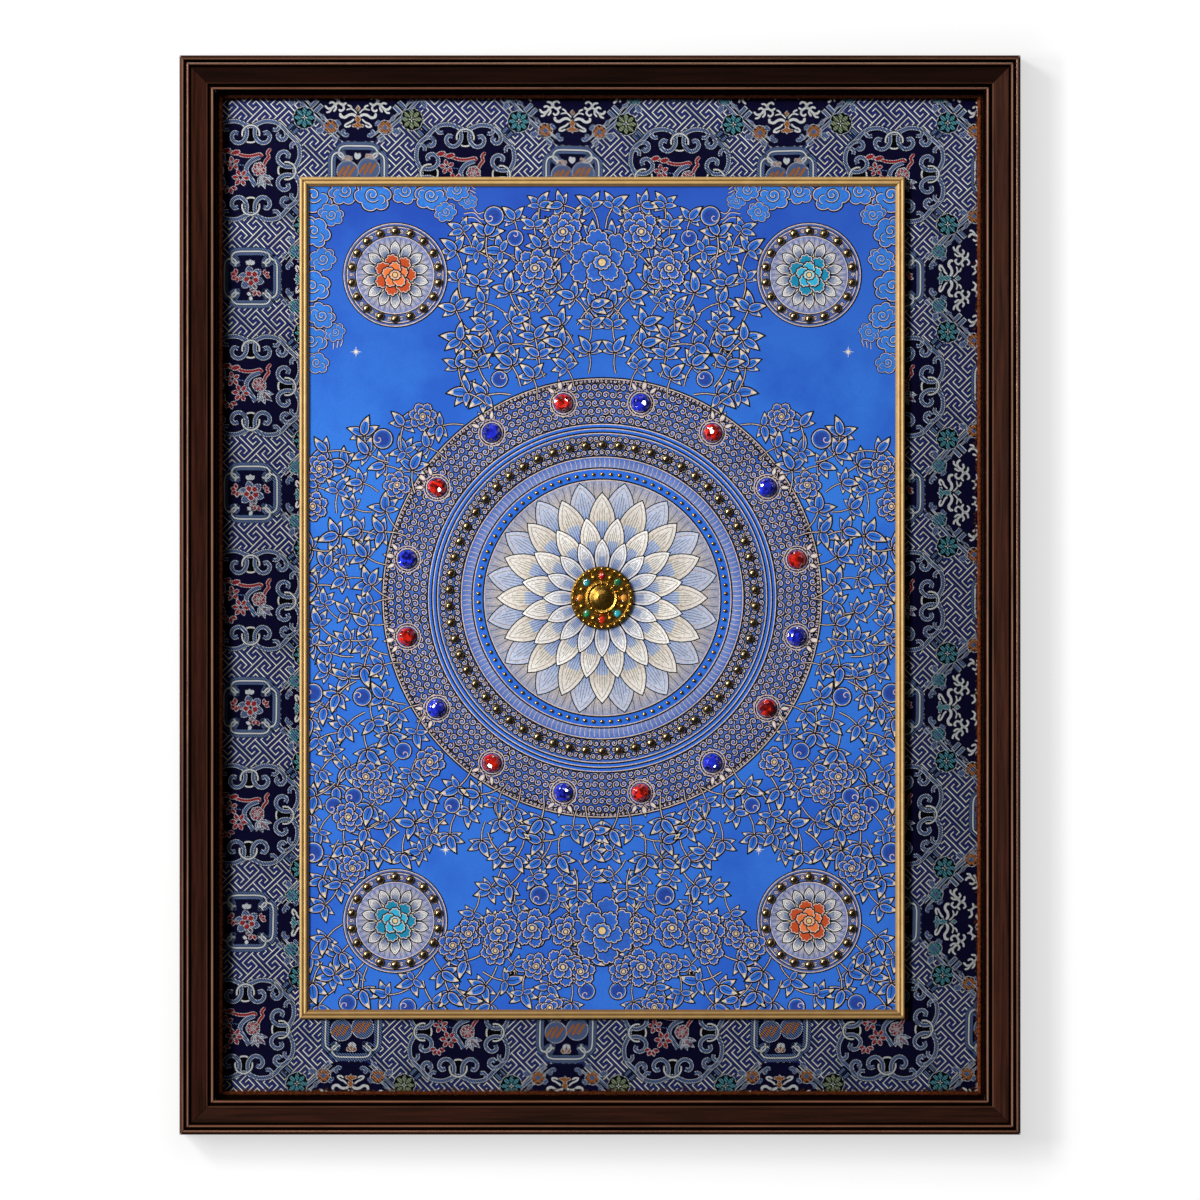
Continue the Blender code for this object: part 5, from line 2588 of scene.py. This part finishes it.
@dataclass(frozen=True)
class Softbox:
    """A soft light behind a rectangle of white cloth: its place, size in metres and power in watts."""

    name: str
    across: float
    depth: float
    above: float
    wide: float
    tall: float
    power: float

    def build(self, centre: Vector) -> None:
        """Stand the light and turn it to the object.

        Args:
            centre: middle of the object, which its height is measured from.
        """
        data = bpy.data.lights.new(self.name, "AREA")
        data.shape, data.size, data.size_y, data.energy = "RECTANGLE", self.wide, self.tall, self.power
        item = bpy.data.objects.new(self.name, data)
        item.location = (self.across, self.depth, centre.z + self.above)
        item.rotation_euler = (centre - item.location).to_track_quat("-Z", "Y").to_euler()
        bpy.context.scene.collection.objects.link(item)


@dataclass
class Studio:
    """White wall, softboxes at the upper left, the left and above, and the photograph's camera."""

    picture_side: float = 0.8556
    camera_lens: float = 252.0
    sensor: float = 36.0
    camera_drop: float = 0.00357
    wall_glow: float = 0.78
    wall_grey: float = 0.24
    wall_half: float = 2.2
    wall_gap: float = 0.003
    halo: float = 0.05
    halo_shade: float = 0.82
    surroundings: float = 0.2
    mirrored: float = 0.03
    lights: tuple[Softbox, ...] = (
        Softbox("key_softbox", -2.7, -2.8, 1.95, 1.0, 1.0, 170.0),
        Softbox("side_softbox", -2.05, -1.85, 0.3, 0.4, 0.75, 48.0),
        Softbox("top_softbox", -0.2, -1.2, 1.25, 1.2, 0.3, 4.0),
    )

    def build(self, low: Vector, high: Vector) -> None:
        """Set the stage round the object.

        Args:
            low: the object's lowest corner.
            high: its highest corner.
        """
        centre = (low + high) / 2
        self.wall(low, high)
        for light in self.lights:
            light.build(centre)
        self.world()
        distance = self.picture_side * self.camera_lens / self.sensor
        data = bpy.data.cameras.new("camera")
        data.lens, data.sensor_width = self.camera_lens, self.sensor
        camera = bpy.data.objects.new("camera", data)
        camera.location = (centre.x, low.y - distance, centre.z - self.camera_drop)
        camera.rotation_euler = (math.pi / 2, 0.0, 0.0)
        scene = bpy.context.scene
        scene.collection.objects.link(camera)
        scene.camera = camera
        scene.view_settings.view_transform = "Standard"
        LOG.info("stage, camera and %d lights set", len(self.lights))

    def wall(self, low: Vector, high: Vector) -> None:
        """A white wall just behind the frame, seen by the camera alone and clear from behind.

        Args:
            low: the object's lowest corner.
            high: its highest corner.
        """
        middle, half, depth = (low.z + high.z) / 2, self.wall_half, high.y + self.wall_gap
        corners = [(i * half, depth, middle + j * half) for i, j in ((-1, -1), (1, -1), (1, 1), (-1, 1))]
        mesh = bpy.data.meshes.new("wall")
        mesh.from_pydata(corners, [], [(0, 1, 2, 3)])
        mesh.materials.append(self.plaster(low, high))
        item = bpy.data.objects.new("wall", mesh)
        bpy.context.scene.collection.objects.link(item)
        item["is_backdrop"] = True
        item.visible_shadow = item.visible_diffuse = item.visible_glossy = item.visible_transmission = False

    def plaster(self, low: Vector, high: Vector) -> bpy.types.Material:
        """Matt wall paint lit evenly by its glow, but for a painted shadow: a soft halo round the frame where
        the glow is dimmed.

        Args:
            low: the object's lowest corner.
            high: its highest corner.

        Returns:
            The material.
        """
        made = bpy.data.materials.new("wall_paint")
        made.use_nodes = True
        tree = made.node_tree
        shader = tree.nodes["Principled BSDF"]
        place = add_node(tree, "ShaderNodeTexCoord").outputs["Object"]
        away = vector(tree, "ABSOLUTE", vector(tree, "SUBTRACT", place, (low + high) / 2))
        outside = vector(tree, "MAXIMUM", vector(tree, "SUBTRACT", away, (high - low) / 2))
        flat = vector(tree, "MULTIPLY", outside, (1.0, 0.0, 1.0))
        gap = add_node(tree, "ShaderNodeVectorMath", {0: flat}, operation="LENGTH").outputs["Value"]
        looks = {
            "Base Color": (self.wall_grey, self.wall_grey, self.wall_grey, 1.0),
            "Roughness": 0.9,
            "Specular IOR Level": 0.0,
            "Emission Color": (1.0, 1.0, 1.0, 1.0),
            # Painted shadow: the glow is dimmed within the halo's reach of the frame.
            "Emission Strength": ranged(
                tree, gap, 0.0, self.halo, self.halo_shade * self.wall_glow, self.wall_glow
            ),
        }
        feed(tree, shader, looks)
        clear = add_node(tree, "ShaderNodeBsdfTransparent").outputs[0]
        sides = {0: surface(tree, "Backfacing"), 1: shader.outputs[0], 2: clear}
        both = add_node(tree, "ShaderNodeMixShader", sides).outputs[0]
        feed(tree, tree.nodes["Material Output"], {0: both})
        return made

    def world(self) -> None:
        """Even white surroundings that shine less in mirrored rays, as a dark studio does."""
        made = bpy.data.worlds.new("surroundings")
        made.use_nodes = True
        tree = made.node_tree
        glossy = add_node(tree, "ShaderNodeLightPath").outputs["Is Glossy Ray"]
        strength = ranged(tree, glossy, 0.0, 1.0, self.surroundings, self.mirrored)
        feed(tree, tree.nodes["Background"], {0: (1.0, 1.0, 1.0, 1.0), 1: strength})
        bpy.context.scene.world = made


# ---------------------------------------------------------------- the whole


def clear_start() -> None:
    """Remove the start-up objects."""
    for item in list(bpy.data.objects):
        bpy.data.objects.remove(item, do_unlink=True)


def main() -> None:
    """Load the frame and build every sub-assembly in order."""
    logging.basicConfig(level=logging.INFO, format="%(message)s")
    clear_start()
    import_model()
    low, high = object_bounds()
    WoodFrame().build()
    GiltFillet().build()
    Backing().build()
    Brocade().build()
    picture = Picture()
    picture.build()
    MetalBeads(picture).build()
    Stones().build()
    GiltBoss(picture).build()
    Studio().build(low, high)
    bpy.context.view_layer.update()


if __name__ == "__main__":
    main()
